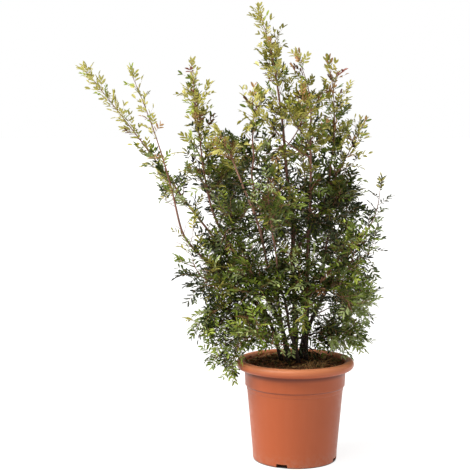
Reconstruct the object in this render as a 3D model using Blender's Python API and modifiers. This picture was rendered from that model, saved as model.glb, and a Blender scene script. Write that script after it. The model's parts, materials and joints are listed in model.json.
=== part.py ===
"""Potted mastic tree: a many-stemmed evergreen shrub in a round terracotta-coloured plastic pot.

Units are metres and +Z is up. The origin is the centre of the pot's flat underside, and -Y is the front.
Every limb and every mass of foliage is worked out from the named sizes below by one growth rule.
"""

import math
import random
from collections import namedtuple

import bmesh
import bpy
import numpy as np
from mathutils import Matrix, Vector
from mathutils.bvhtree import BVHTree

GAP = 0.0003
SEED = 23
GOLDEN_ANGLE = math.radians(137.508)

# Pot: a tapered shell with a flat floor and a wider collar under a rolled rim. The drops say how far below the
# top each side of the wall meets the roll, in roll radii. The four drain slots at the pot's foot lie in pairs,
# each as far to one side of the drain axis as the other.
RIM_RADIUS = 0.1990
RIM_ROLL = 0.0155
RIM_ROLL_FROM = math.radians(192)
RIM_ROLL_TO = math.radians(-62)
ROLL_INSIDE_DROP = 1.6
ROLL_OUTSIDE_DROP = 1.9
POT_HEIGHT = 0.341
COLLAR_TOP_RADIUS = 0.1710
COLLAR_FOOT_RADIUS = 0.1685
COLLAR_FOOT_HEIGHT = 0.2540
SHOULDER_RADIUS = 0.1640
SHOULDER_HEIGHT = 0.2495
BASE_RADIUS = 0.1425
BASE_ROUND = 0.008
WALL = 0.0035
FLOOR = 0.005
POT_SEGMENTS = 40
ROLL_STEPS = 7
DRAIN_WIDTH = 0.040
DRAIN_HEIGHT = 0.013
DRAIN_DEPTH = 0.026
DRAIN_BEARING = -110.5
DRAIN_COUNT = 4

# Soil: it fills the pot to just under the rim and rises to a flat crown, where the stems stand.
SOIL_EDGE_HEIGHT = 0.326
SOIL_CROWN_HEIGHT = 0.335
SOIL_CROWN_RADIUS = 0.105

# Limbs: how far the bark wanders from a clean bend, the length of the upright foot, and its flare.
STEM_STEPS = 9
BOUGH_STEPS = 5
WANDER = 0.004
COLLAR_RISE = 0.014
FLARE = 0.45
FLARE_AT_COLLAR = 0.14
TAPER_POWER = 0.85

# Foliage. A leaf here stands for one whole feathered leaf of about ten leaflets. It is longer in wide masses.
LEAF_SHORTEST = 0.046
LEAF_LENGTH_PER_REACH = 0.36
LEAF_WIDTH_SHARE = 0.52
LEAF_THICKNESS = 0.0016
LEAF_CLEARANCE = 0.0012
LEAF_SPACING = 0.0150
LEAF_SPACING_ON_TWIG = 0.0170
LEAF_TRIES = 6
LEAF_LEANS = (48, 65)
END_LEAF_LEANS = (0, 25)
LEAF_TILT = 0.6
LEAF_SIZES = (0.88, 1.12)
TWIG_LEAF_SWING = 0.35
TWIG_SPACING = 0.036
TWIG_RADIUS = 0.0019
TWIG_LEANS = (46, 62)
TWIG_REACH_LEFT = 0.85
BARE_FOOT_SHARE = 0.04
SPIRE_LEAN_SHARE = 0.75
FLAT_SIDE = math.radians(90)
SHORTEST_TWIG = 0.030
SHOOT_STEPS = 4
SIDE_SHOOT_RADIUS = 0.0026
SHOOT_TIP_RADIUS = 0.0011
SPACE_SAMPLES = 14
END_REACH_IN_LEAVES = 1.06
END_REACH_SHARE = 0.7
OLIVE_HEIGHT = 0.98

# A limb runs smoothly from its foot through its bends to its tip. A stem's foot is a place on the soil, and a
# bough's is a height on its parent. The last two numbers are its radius at the foot and at the tip.
Limb = namedtuple("Limb", "name parent foot bends tip thick thin")
LIMBS = (
    Limb("stem_tall", None, (0.000, 0.000), [(-0.015, 0.000, 0.830)], (-0.060, 0.000, 1.240), 0.0110, 0.0032),
    Limb("stem_west", None, (-0.048, -0.012), [(-0.100, -0.025, 0.490), (-0.290, -0.045, 0.665),
         (-0.370, -0.058, 0.765)], (-0.398, -0.065, 0.860), 0.0070, 0.0032),
    Limb("stem_northwest", None, (-0.050, 0.030), [(-0.095, 0.040, 0.480), (-0.270, 0.050, 0.735)],
         (-0.388, 0.075, 0.892), 0.0065, 0.0032),
    Limb("stem_left", None, (-0.020, 0.036), [(-0.060, 0.045, 0.480), (-0.186, 0.050, 0.670),
         (-0.288, 0.035, 0.870)], (-0.314, 0.025, 1.020), 0.0080, 0.0028),
    Limb("stem_red", None, (-0.028, -0.042), [(-0.133, -0.075, 0.810)],
         (-0.205, -0.095, 1.000), 0.0065, 0.0028),
    Limb("stem_middle", None, (0.036, -0.014), [(0.042, -0.045, 0.820)],
         (0.046, -0.050, 1.150), 0.0070, 0.0028),
    Limb("stem_right", None, (0.020, 0.032), [(0.110, 0.035, 0.580)], (0.236, 0.048, 0.758), 0.0090, 0.0028),
    Limb("stem_front", None, (0.008, -0.054), [(-0.045, -0.140, 0.560)],
         (-0.080, -0.200, 0.760), 0.0060, 0.0026),
    Limb("stem_back", None, (0.024, 0.070), [(0.056, 0.160, 0.625)], (0.046, 0.200, 0.900), 0.0080, 0.0028),
    Limb("fork_right", "stem_tall", 0.700, [(0.085, 0.030, 0.835)], (0.120, 0.022, 1.010), 0.0065, 0.0028),
    Limb("upper_right", "fork_right", 0.915, [(0.145, 0.032, 0.970)], (0.170, 0.030, 1.020), 0.0036, 0.0020),
    Limb("low_right", "stem_tall", 0.405, [(0.034, -0.038, 0.426)], (0.070, -0.040, 0.436), 0.0048, 0.0026),
    Limb("centre", "stem_red", 0.835, [(-0.144, -0.055, 0.970)], (-0.144, -0.035, 1.100), 0.0040, 0.0024),
    Limb("low_left", "stem_west", 0.500, [(-0.190, -0.062, 0.515)], (-0.235, -0.072, 0.520), 0.0040, 0.0024),
    Limb("droop_left", "stem_northwest", 0.410, [(-0.150, 0.010, 0.430)],
         (-0.205, -0.015, 0.408), 0.0036, 0.0022),
    Limb("thin_left", "stem_west", 0.590, [(-0.258, -0.080, 0.602)],
         (-0.292, -0.086, 0.618), 0.0034, 0.0022),
    Limb("fork_up", "stem_right", 0.560, [(0.100, 0.065, 0.680)], (0.140, 0.090, 0.800), 0.0046, 0.0024),
    Limb("front_right", "stem_front", 0.450, [(0.060, -0.150, 0.560)], (0.125, -0.175, 0.630), 0.0040, 0.0022),
    Limb("back_left", "stem_left", 0.500, [(-0.130, 0.140, 0.620)], (-0.200, 0.190, 0.760), 0.0046, 0.0024),
    Limb("back_right", "stem_back", 0.560, [(0.135, 0.190, 0.680)], (0.180, 0.205, 0.780), 0.0046, 0.0024),
)

# At each limb's tip one mass of foliage carries on to the place given here, as wide as its reach each way.
TipShoot = namedtuple("TipShoot", "tip reach")
TIP_SHOOTS = {
    "stem_tall": TipShoot((-0.118, -0.010, 1.482), 0.066),
    "stem_west": TipShoot((-0.530, -0.110, 1.275), 0.064),
    "stem_northwest": TipShoot((-0.705, 0.130, 1.302), 0.066),
    "stem_left": TipShoot((-0.345, 0.000, 1.303), 0.082),
    "stem_red": TipShoot((-0.245, -0.115, 1.085), 0.085),
    "stem_middle": TipShoot((0.010, -0.045, 1.325), 0.074),
    "stem_right": TipShoot((0.288, 0.055, 0.905), 0.062),
    "stem_front": TipShoot((-0.100, -0.235, 0.940), 0.120),
    "stem_back": TipShoot((0.020, 0.200, 1.170), 0.110),
    "fork_right": TipShoot((0.113, 0.000, 1.305), 0.095),
    "upper_right": TipShoot((0.215, 0.020, 1.110), 0.080),
    "low_right": TipShoot((0.195, -0.060, 0.428), 0.105),
    "centre": TipShoot((-0.146, -0.030, 1.215), 0.080),
    "low_left": TipShoot((-0.318, -0.090, 0.478), 0.105),
    "droop_left": TipShoot((-0.236, -0.082, 0.335), 0.098),
    "thin_left": TipShoot((-0.345, -0.095, 0.700), 0.098),
    "fork_up": TipShoot((0.155, 0.105, 0.950), 0.110),
    "front_right": TipShoot((0.185, -0.200, 0.765), 0.115),
    "back_left": TipShoot((-0.225, 0.230, 0.930), 0.130),
    "back_right": TipShoot((0.192, 0.215, 0.882), 0.110),
}

# Further masses leave a limb's side a golden angle apart, evenly between two heights. Each leans from its
# first angle to its last as it grows, in degrees from upright.
SideShoots = namedtuple("SideShoots", "count low high bearing length reach lean_first lean_last")
SIDE_SHOOTS = {
    "stem_tall": SideShoots(2, 0.900, 1.050, 165, 0.190, 0.110, 60, 25),
    "stem_middle": SideShoots(3, 0.540, 1.020, 255, 0.210, 0.130, 65, 30),
    "stem_left": SideShoots(2, 0.720, 0.900, 270, 0.190, 0.120, 65, 30),
    "stem_red": SideShoots(2, 0.540, 0.780, 235, 0.210, 0.130, 70, 35),
    "stem_west": SideShoots(2, 0.420, 0.640, 195, 0.200, 0.120, 90, 65),
    "stem_northwest": SideShoots(1, 0.600, 0.600, 200, 0.150, 0.115, 70, 30),
    "stem_right": SideShoots(2, 0.480, 0.680, 340, 0.175, 0.120, 85, 50),
    "stem_front": SideShoots(2, 0.400, 0.560, 210, 0.200, 0.130, 85, 55),
    "stem_back": SideShoots(2, 0.460, 0.720, 20, 0.230, 0.125, 75, 50),
}

COLOURS = {
    "pot_plastic": ((0.560, 0.172, 0.078), 0.45),
    "potting_soil": ((0.035, 0.020, 0.012), 0.95),
    "bark": ((0.085, 0.045, 0.030), 0.80),
    "leaf_green": ((0.055, 0.110, 0.022), 0.45),
    "leaf_olive": ((0.150, 0.190, 0.035), 0.45),
}


def clear_scene():
    for thing in list(bpy.data.objects):
        bpy.data.objects.remove(thing)


def new_collection(name):
    collection = bpy.data.collections.new(name)
    bpy.context.scene.collection.children.link(collection)
    return collection


def material(name):
    found = bpy.data.materials.get(name)
    if found is None:
        colour, roughness = COLOURS[name]
        found = bpy.data.materials.new(name)
        found.use_nodes = True
        shader = found.node_tree.nodes["Principled BSDF"]
        shader.inputs["Base Color"].default_value = (*colour, 1)
        shader.inputs["Roughness"].default_value = roughness
        shader.inputs["Metallic"].default_value = 0.0
        found.diffuse_color = (*colour, 1)
    return found


def add(name, data, collection, tint=None):
    thing = bpy.data.objects.new(name, data)
    collection.objects.link(thing)
    if tint:
        data.materials.clear()
        data.materials.append(material(tint))
    return thing


def baked(thing):
    """A new mesh of the object as its modifiers leave it, with a curve's loose caps welded on."""
    graph = bpy.context.evaluated_depsgraph_get()
    mesh = bpy.data.meshes.new_from_object(thing.evaluated_get(graph))
    shape = bmesh.new()
    shape.from_mesh(mesh)
    bmesh.ops.remove_doubles(shape, verts=shape.verts, dist=1e-6)
    shape.to_mesh(mesh)
    shape.free()
    return mesh


def turned(name, profile, segments, collection, tint):
    """A solid of revolution. The profile starts on the axis inside and runs down its outer side."""
    mesh = bpy.data.meshes.new(name)
    mesh.from_pydata([(r, 0, z) for r, z in profile], [(i, i + 1) for i in range(len(profile) - 1)], [])
    thing = add(name, mesh, collection, tint)
    screw = thing.modifiers.new("turn", "SCREW")
    screw.steps = screw.render_steps = segments
    screw.use_merge_vertices = True
    screw.merge_threshold = 0.00005
    screw.use_smooth_shade = True
    return thing


def pot_wall_inside():
    """The inner side of the pot from its floor's centre up to the rolled rim, as (radius, height)."""
    return [
        (0, FLOOR),
        (BASE_RADIUS - WALL, FLOOR),
        (SHOULDER_RADIUS - WALL, SHOULDER_HEIGHT),
        (COLLAR_FOOT_RADIUS - WALL, COLLAR_FOOT_HEIGHT),
        (COLLAR_TOP_RADIUS - WALL, POT_HEIGHT - ROLL_INSIDE_DROP * RIM_ROLL),
    ]


def pot_profile():
    roll_centre = (RIM_RADIUS - RIM_ROLL, POT_HEIGHT - RIM_ROLL)
    roll = []
    for i in range(ROLL_STEPS + 1):
        angle = RIM_ROLL_FROM + (RIM_ROLL_TO - RIM_ROLL_FROM) * i / ROLL_STEPS
        roll.append((roll_centre[0] + RIM_ROLL * math.cos(angle), roll_centre[1] + RIM_ROLL * math.sin(angle)))
    outside = [
        (COLLAR_TOP_RADIUS, POT_HEIGHT - ROLL_OUTSIDE_DROP * RIM_ROLL),
        (COLLAR_FOOT_RADIUS, COLLAR_FOOT_HEIGHT),
        (SHOULDER_RADIUS, SHOULDER_HEIGHT),
        (BASE_RADIUS, BASE_ROUND),
        (BASE_RADIUS - 0.3 * BASE_ROUND, 0.3 * BASE_ROUND),
        (BASE_RADIUS - BASE_ROUND, 0),
        (0, 0),
    ]
    return pot_wall_inside() + roll + outside


def make_pot(parts, cutters):
    pot = turned("pot", pot_profile(), POT_SEGMENTS, parts, "pot_plastic")
    for i in range(DRAIN_COUNT):
        bearing = math.radians(DRAIN_BEARING + 360 * i / DRAIN_COUNT)
        shape = bmesh.new()
        bmesh.ops.create_cube(shape, size=1)
        bmesh.ops.scale(shape, verts=shape.verts, vec=(2 * DRAIN_DEPTH, DRAIN_WIDTH, 2 * DRAIN_HEIGHT))
        mesh = bpy.data.meshes.new(f"drain_cutter_{i}")
        shape.to_mesh(mesh)
        shape.free()
        cutter = add(f"drain_cutter_{i}", mesh, cutters)
        cutter.matrix_world = Matrix.Rotation(bearing, 4, "Z") @ Matrix.Translation((BASE_RADIUS, 0, 0))
        cutter.hide_render = True
        cutter.display_type = "WIRE"
        slot = pot.modifiers.new(f"drain_{i}", "BOOLEAN")
        slot.object = cutter
        slot.operation = "DIFFERENCE"
    return pot


def make_soil(parts):
    """Soil inside the pot, a gap clear of its wall and floor."""
    wall = pot_wall_inside()[1:]
    edge = np.interp(SOIL_EDGE_HEIGHT, [z for _, z in wall], [r for r, _ in wall])
    side = [(r - GAP, z + (GAP if z == FLOOR else 0)) for r, z in wall if z < SOIL_EDGE_HEIGHT]
    crown = [
        (0, SOIL_CROWN_HEIGHT),
        (SOIL_CROWN_RADIUS, SOIL_CROWN_HEIGHT),
        (0.5 * (SOIL_CROWN_RADIUS + edge), 0.4 * SOIL_CROWN_HEIGHT + 0.6 * SOIL_EDGE_HEIGHT),
        (edge - GAP, SOIL_EDGE_HEIGHT),
    ]
    return turned("soil", crown + side[::-1] + [(0, FLOOR + GAP)], POT_SEGMENTS, parts, "potting_soil")


def through(places, steps):
    """Points along the smooth line that passes through three or more places."""
    places = np.array(places, float)
    chords = np.linalg.norm(np.diff(places, axis=0), axis=1)
    knots = np.concatenate([[0], np.cumsum(chords)])
    slopes = np.diff(places, axis=0) / chords[:, None]
    before, after = chords[:-1, None], chords[1:, None]
    middle = (slopes[:-1] * after + slopes[1:] * before) / (before + after)
    first, last = (3 * slopes[0] - middle[0]) / 2, (3 * slopes[-1] - middle[-1]) / 2
    tangents = np.vstack([first, middle, last])
    points = []
    for distance in np.linspace(0, knots[-1], steps + 1):
        k = min(int(np.searchsorted(knots, distance, "right")) - 1, len(chords) - 1)
        s = (distance - knots[k]) / chords[k]
        points.append(
            (1 + 2 * s) * (1 - s) ** 2 * places[k]
            + s * (1 - s) ** 2 * chords[k] * tangents[k]
            + s**2 * (3 - 2 * s) * places[k + 1]
            + s**2 * (s - 1) * chords[k] * tangents[k + 1]
        )
    return np.array(points)


def wandering(points, rng):
    """The points moved a little to each side, most in the middle of the limb and not at all at its ends."""
    t = np.linspace(0, 1, len(points))
    moved = points.copy()
    for axis in (0, 1):
        waves, phase = rng.uniform(1.4, 2.6), rng.uniform(0, 1)
        moved[:, axis] += WANDER * np.sin(2 * math.pi * (waves * t + phase)) * 4 * t * (1 - t)
    return moved


def place_at_height(points, height):
    """The place where a limb passes a height."""
    above = int(np.argmax(points[:, 2] > height))
    low, high = points[above - 1], points[above]
    return low + (high - low) * (height - low[2]) / (high[2] - low[2])


def tube(name, points, radii, resolution, collection, tint=None):
    """A round tapering limb along the points. It has 4 sides, and 2 more for each step of resolution."""
    curve = bpy.data.curves.new(name, "CURVE")
    curve.dimensions = "3D"
    curve.twist_mode = "MINIMUM"
    curve.bevel_depth = max(radii)
    curve.bevel_resolution = resolution
    curve.use_fill_caps = True
    spline = curve.splines.new("POLY")
    spline.points.add(len(points) - 1)
    for knot, place, radius in zip(spline.points, points, radii):
        knot.co = (*place, 1)
        knot.radius = radius / max(radii)
    thing = add(name, curve, collection)
    mesh = baked(thing)
    bpy.data.objects.remove(thing)
    return add(name, mesh, collection, tint)


def limb_radii(limb, points):
    t = np.linspace(0, 1, len(points))
    radii = limb.thick + (limb.thin - limb.thick) * t**TAPER_POWER
    if limb.parent is None:
        radii[0] *= 1 + FLARE
        radii[1] *= 1 + FLARE_AT_COLLAR
    return radii


def limb_paths():
    """Each limb's points. A stem first stands straight up from a flat cut on the soil."""
    paths = {}
    for index, limb in enumerate(LIMBS):
        rng = random.Random(SEED + index)
        if limb.parent is None:
            foot = np.array((*limb.foot, SOIL_CROWN_HEIGHT + GAP))
            collar = foot + (0, 0, COLLAR_RISE)
            bend = wandering(through([collar, *limb.bends, limb.tip], STEM_STEPS), rng)
            paths[limb.name] = np.vstack([foot, bend])
        else:
            foot = place_at_height(paths[limb.parent], limb.foot)
            paths[limb.name] = wandering(through([foot, *limb.bends, limb.tip], BOUGH_STEPS), rng)
    return paths


def largest_body(mesh):
    """Keeps a mesh's largest closed body. Scraps go, and sealed hollows are filled."""
    shape = bmesh.new()
    shape.from_mesh(mesh)
    waiting, bodies = set(shape.faces), []
    while waiting:
        body, front = set(), [waiting.pop()]
        while front:
            face = front.pop()
            body.add(face)
            for edge in face.edges:
                for other in edge.link_faces:
                    if other in waiting:
                        waiting.discard(other)
                        front.append(other)
        bodies.append(body)
    bodies.sort(key=lambda body: sum(face.calc_area() for face in body))
    scraps = [face for body in bodies[:-1] for face in body]
    bmesh.ops.delete(shape, geom=scraps, context="FACES")
    shape.to_mesh(mesh)
    shape.free()
    return mesh


def saddle_cut(thing, parent, paths, cutters):
    """Cuts a limb's or shoot's foot to its six-sided parent's side, a gap clear."""
    points = paths[parent.name]
    radii = limb_radii(parent, points) + GAP / math.cos(math.pi / 6)
    cutter = tube("parent_cutter", points, radii, 1, cutters)
    cut = thing.modifiers.new("saddle", "BOOLEAN")
    cut.object = cutter
    cut.operation = "DIFFERENCE"
    mesh = largest_body(baked(thing))
    bpy.data.objects.remove(cutter)
    thing.modifiers.clear()
    thing.data = mesh


def make_limbs(paths, parts, cutters):
    by_name = {limb.name: limb for limb in LIMBS}
    made = {}
    for limb in LIMBS:
        points = paths[limb.name]
        thing = tube(limb.name, points, limb_radii(limb, points), 1, parts, "bark")
        if limb.parent:
            saddle_cut(thing, by_name[limb.parent], paths, cutters)
        made[limb.name] = thing
    return made


# A shoot is the stem of one mass of foliage, with the space that the mass may fill.
Shoot = namedtuple("Shoot", "name limb spine radius reach tint from_side")


def spine_from_tip(path, tip):
    """From just past a limb's tip, first the way the limb points and then bending to the shoot's own tip."""
    way = path[-1] - path[-2]
    way = way / np.linalg.norm(way)
    start = path[-1] + way * GAP
    length = np.linalg.norm(np.array(tip) - start)
    t = np.linspace(0, 1, SHOOT_STEPS + 1)[:, None]
    return (1 - t) ** 2 * start + 2 * t * (1 - t) * (start + way * 0.5 * length) + t**2 * np.array(tip)


def spine_from_side(start, bearing, side):
    """From a limb's middle line outward, turning upward as it goes."""
    points = [start]
    for i in range(SHOOT_STEPS):
        share = (i + 0.5) / SHOOT_STEPS
        lean = math.radians(side.lean_first + (side.lean_last - side.lean_first) * share)
        way = (math.sin(lean) * math.cos(bearing), math.sin(lean) * math.sin(bearing), math.cos(lean))
        points.append(points[-1] + np.array(way) * side.length / SHOOT_STEPS)
    return np.array(points)


def plan_shoots(paths):
    shoots = []
    for limb in LIMBS:
        last = TIP_SHOOTS[limb.name]
        spine = spine_from_tip(paths[limb.name], last.tip)
        tint = "leaf_olive" if last.tip[2] > OLIVE_HEIGHT else "leaf_green"
        shoots.append(Shoot(f"foliage_{limb.name}_tip", limb, spine, limb.thin, last.reach, tint, False))
        side = SIDE_SHOOTS.get(limb.name)
        for i in range(side.count if side else 0):
            share = i / max(1, side.count - 1)
            start = place_at_height(paths[limb.name], side.low + (side.high - side.low) * share)
            bearing = math.radians(side.bearing) + GOLDEN_ANGLE * i
            spine = spine_from_side(start, bearing, side)
            tint = "leaf_olive" if spine[-1][2] > OLIVE_HEIGHT else "leaf_green"
            name = f"foliage_{limb.name}_side_{i + 1}"
            shoots.append(Shoot(name, limb, spine, SIDE_SHOOT_RADIUS, side.reach, tint, True))
    return shoots


def along(points, share):
    """The place and the direction at a share of a line's steps."""
    at = min(share * (len(points) - 1), len(points) - 1 - 1e-9)
    step = int(at)
    way = points[step + 1] - points[step]
    return points[step] + way * (at - step), way / np.linalg.norm(way)


def leaf_length(shoot):
    return LEAF_SHORTEST + LEAF_LENGTH_PER_REACH * shoot.reach


def reach_at(shoot, share):
    """How far the foliage reaches to each side: a leaf's length at the foot and tip, and more between them."""
    least = END_REACH_IN_LEAVES * leaf_length(shoot)
    return max(least, shoot.reach * (END_REACH_SHARE + (1 - END_REACH_SHARE) * math.sin(math.pi * share)))


class Space:
    """Which mass a place belongs to: the one whose spine is nearest, for its reach."""

    def __init__(self, shoots):
        shares = np.linspace(0, 1, SPACE_SAMPLES)
        self.places = np.array([[along(s.spine, share)[0] for share in shares] for s in shoots])
        self.reaches = np.array([[reach_at(s, share) for share in shares] for s in shoots])

    def holds(self, owner, places):
        for place in places:
            near = (np.linalg.norm(self.places - place, axis=2) / self.reaches).min(axis=1)
            if near[owner] > 1 or near.argmin() != owner:
                return False
        return True


class Solids:
    """What has been made so far, so that a new leaf or twig can be tested against it."""

    def __init__(self):
        self.lows, self.highs, self.trees, self.owners = [], [], [], []

    def tree_of(self, mesh, matrix):
        places = [matrix @ v.co for v in mesh.vertices]
        return places, BVHTree.FromPolygons(places, [tuple(p.vertices) for p in mesh.polygons])

    def keep(self, places, tree, owner):
        corners = np.array(places)
        self.lows.append(corners.min(axis=0))
        self.highs.append(corners.max(axis=0))
        self.trees.append(tree)
        self.owners.append(owner)

    def touch(self, places, tree, free_owner=None):
        corners = np.array(places)
        low, high = corners.min(axis=0), corners.max(axis=0)
        near = np.all((np.array(self.lows) <= high) & (np.array(self.highs) >= low), axis=1)
        return any(self.owners[i] != free_owner and self.trees[i].overlap(tree) for i in np.flatnonzero(near))


def leaf_mesh():
    """An eight-faced leaf one unit long, wide and thick, with its root at the origin and its tip on +X."""
    shape = bmesh.new()
    bmesh.ops.create_uvsphere(shape, u_segments=4, v_segments=2, radius=0.5)
    bmesh.ops.translate(shape, verts=shape.verts, vec=(0.5, 0, 0))
    mesh = bpy.data.meshes.new("leaf")
    shape.to_mesh(mesh)
    shape.free()
    return mesh


def twig_mesh(length, root_radius, tip_radius):
    """A three-sided tapering twig along +X from the origin."""
    shape = bmesh.new()
    turn = Matrix.Rotation(math.pi / 2, 4, "Y")
    bmesh.ops.create_cone(
        shape, cap_ends=True, segments=3, radius1=root_radius, radius2=tip_radius, depth=length,
        matrix=Matrix.Translation((length / 2, 0, 0)) @ turn,
    )
    mesh = bpy.data.meshes.new("twig")
    shape.to_mesh(mesh)
    shape.free()
    return mesh


def frame_matrix(root, way, up, sizes=(1, 1, 1)):
    """Puts +X along a way and +Z as near up as that allows, with its own size along each axis."""
    forward = Vector(way).normalized()
    side = Vector(up).cross(forward)
    if side.length < 1e-3:
        side = Vector((0, 1, 0)).cross(forward)
    side.normalize()
    top = forward.cross(side)
    columns = [forward * sizes[0], side * sizes[1], top * sizes[2]]
    matrix = Matrix.Identity(4)
    for i, column in enumerate(columns):
        for row in range(3):
            matrix[row][i] = column[row]
    matrix.translation = Vector(root)
    return matrix


def outward(way, bearing, lean):
    """A direction that leaves a line at an angle, on the side that the bearing gives."""
    way = Vector(way)
    side = way.orthogonal().normalized()
    turned_side = Matrix.Rotation(bearing, 3, way) @ side
    return (way * math.cos(lean) + turned_side * math.sin(lean)).normalized()


class Grower:
    """Grows the foliage of one mass from its shoot by a seeded rule."""

    def __init__(self, shoot, index, space, solids, leaf, collection):
        self.shoot, self.index, self.space, self.solids = shoot, index, space, solids
        self.leaf, self.collection = leaf, collection
        self.rng = random.Random(SEED * 100 + index)
        self.length = leaf_length(shoot)

    def fits(self, mesh, matrix, places):
        if not self.space.holds(self.index, places):
            return False
        corners, tree = self.solids.tree_of(mesh, matrix)
        return not self.solids.touch(corners, tree, ("stem", self.index))

    def add_leaf(self, root, way, choices):
        """A leaf in the first of the directions, as lean and bearing, where it touches nothing else."""
        size = self.rng.uniform(*LEAF_SIZES)
        length, width = self.length * size, self.length * size * LEAF_WIDTH_SHARE
        for lean, bearing in choices:
            forward = outward(way, bearing, lean)
            up = Vector((self.rng.uniform(-LEAF_TILT, LEAF_TILT), self.rng.uniform(-LEAF_TILT, LEAF_TILT), 1))
            matrix = frame_matrix(root, forward, up, (length, width, LEAF_THICKNESS))
            room = (length + LEAF_CLEARANCE, width + 2 * LEAF_CLEARANCE, LEAF_THICKNESS + 2 * LEAF_CLEARANCE)
            tested = frame_matrix(root, forward, up, room)
            tips = [matrix @ Vector(p) for p in ((1, 0, 0), (0.5, 0.5, 0), (0.5, -0.5, 0))]
            if self.fits(self.leaf, tested, tips):
                thing = bpy.data.objects.new("leaf", self.leaf)
                self.collection.objects.link(thing)
                thing.matrix_world = matrix
                self.solids.keep(*self.solids.tree_of(self.leaf, tested), ("leaf", self.index))
                return

    def add_end_leaf(self, root, way):
        """A leaf that carries on from the end of a line."""
        choices = []
        for _ in range(LEAF_TRIES):
            choices.append((math.radians(self.rng.uniform(*END_LEAF_LEANS)), self.rng.uniform(0, 2 * math.pi)))
        self.add_leaf(root, way, choices)

    def add_twig(self, root, way, length):
        """A twig with leaves on its three sides and one at its tip. It is left out where it would touch."""
        mesh = twig_mesh(length, TWIG_RADIUS, 0.6 * TWIG_RADIUS)
        matrix = frame_matrix(root, way, way.orthogonal())
        if not self.fits(mesh, matrix, [matrix @ Vector((length, 0, 0))]):
            return False
        thing = bpy.data.objects.new("twig", mesh)
        self.collection.objects.link(thing)
        thing.matrix_world = matrix
        self.solids.keep(*self.solids.tree_of(mesh, matrix), ("stem", self.index))
        self.add_end_leaf(root + way * (length - 2 * TWIG_RADIUS), way)
        steps = int(length / LEAF_SPACING_ON_TWIG)
        first_side = self.rng.randrange(3)
        for i in range(steps):
            at = length * (i + 0.6) / (steps + 0.4)
            lean = math.radians(self.rng.uniform(*LEAF_LEANS))
            choices = []
            for k in range(3):
                swing = self.rng.uniform(-TWIG_LEAF_SWING, TWIG_LEAF_SWING)
                choices.append((lean, FLAT_SIDE + (first_side + i + k) * 2 * math.pi / 3 + swing))
            self.add_leaf(root + way * at, way, choices)
        return True

    def grow(self):
        """Twigs a golden angle apart from the shoot's tip down, or single leaves where the space is narrow."""
        shoot = self.shoot
        length = sum(np.linalg.norm(b - a) for a, b in zip(shoot.spine, shoot.spine[1:]))
        bearing = self.rng.uniform(0, 2 * math.pi)
        end, way = along(shoot.spine, 1)
        self.add_end_leaf(Vector(end) - Vector(way) * TWIG_RADIUS, Vector(way))
        at = length - 0.4 * LEAF_SPACING
        while at > BARE_FOOT_SHARE * length:
            place, way = (Vector(v) for v in along(shoot.spine, at / length))
            room = reach_at(shoot, at / length) - TWIG_REACH_LEFT * self.length
            lean = math.radians(self.rng.uniform(*TWIG_LEANS))
            bearing += GOLDEN_ANGLE
            if room > SHORTEST_TWIG:
                for _ in range(LEAF_TRIES):
                    if self.add_twig(place, outward(way, bearing, lean), room / math.sin(lean)):
                        break
                    bearing += GOLDEN_ANGLE
                at -= TWIG_SPACING
            else:
                leaf_lean = SPIRE_LEAN_SHARE * lean
                self.add_leaf(place, way, [(leaf_lean, bearing + GOLDEN_ANGLE * k) for k in range(LEAF_TRIES)])
                at -= LEAF_SPACING


def fuse(stem, collection):
    """Joins a mass's twigs and leaves to its stem in one union, and removes the loose pieces."""
    join = stem.modifiers.new("fuse", "BOOLEAN")
    join.operation = "UNION"
    join.operand_type = "COLLECTION"
    join.collection = collection
    mesh = largest_body(baked(stem))
    stem.modifiers.clear()
    stem.data = mesh
    for thing in list(collection.objects):
        bpy.data.objects.remove(thing)
    bpy.data.collections.remove(collection)


def make_foliage(paths, fixed, parts, cutters):
    shoots = plan_shoots(paths)
    space, solids, leaf = Space(shoots), Solids(), leaf_mesh()
    for thing in fixed:
        mesh = baked(thing)
        solids.keep(*solids.tree_of(mesh, thing.matrix_world), ("fixed", thing.name))
    stems = []
    for index, shoot in enumerate(shoots):
        count = len(shoot.spine)
        radii = [shoot.radius + (SHOOT_TIP_RADIUS - shoot.radius) * i / (count - 1) for i in range(count)]
        stem = tube(shoot.name, shoot.spine, radii, 0, parts, shoot.tint)
        if shoot.from_side:
            saddle_cut(stem, shoot.limb, paths, cutters)
        solids.keep(*solids.tree_of(stem.data, stem.matrix_world), ("stem", index))
        stems.append(stem)
    for index, (shoot, stem) in enumerate(zip(shoots, stems)):
        pieces = new_collection(f"pieces_of_{shoot.name}")
        Grower(shoot, index, space, solids, leaf, pieces).grow()
        fuse(stem, pieces)
        stem.data.materials.clear()
        stem.data.materials.append(material(shoot.tint))


def main():
    clear_scene()
    parts = new_collection("potted_mastic_tree")
    cutters = new_collection("cutters")
    pot = make_pot(parts, cutters)
    soil = make_soil(parts)
    paths = limb_paths()
    limbs = make_limbs(paths, parts, cutters)
    bpy.context.view_layer.update()
    make_foliage(paths, [pot, soil, *limbs.values()], parts, cutters)


main()
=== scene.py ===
"""Looks of the potted mastic tree: bark, feathered leaves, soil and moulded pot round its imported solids.

Units are metres, +Z is up and -Y is the front. Limbs and shoots follow the same named sizes and the same
growth rule as the solids, carried on to finer twigs and to leaves of separate leaflets.
"""

import json
import math
import random
from collections import namedtuple

import bpy
import numpy as np
from mathutils import Matrix, Vector, noise
from mathutils.kdtree import KDTree

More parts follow.
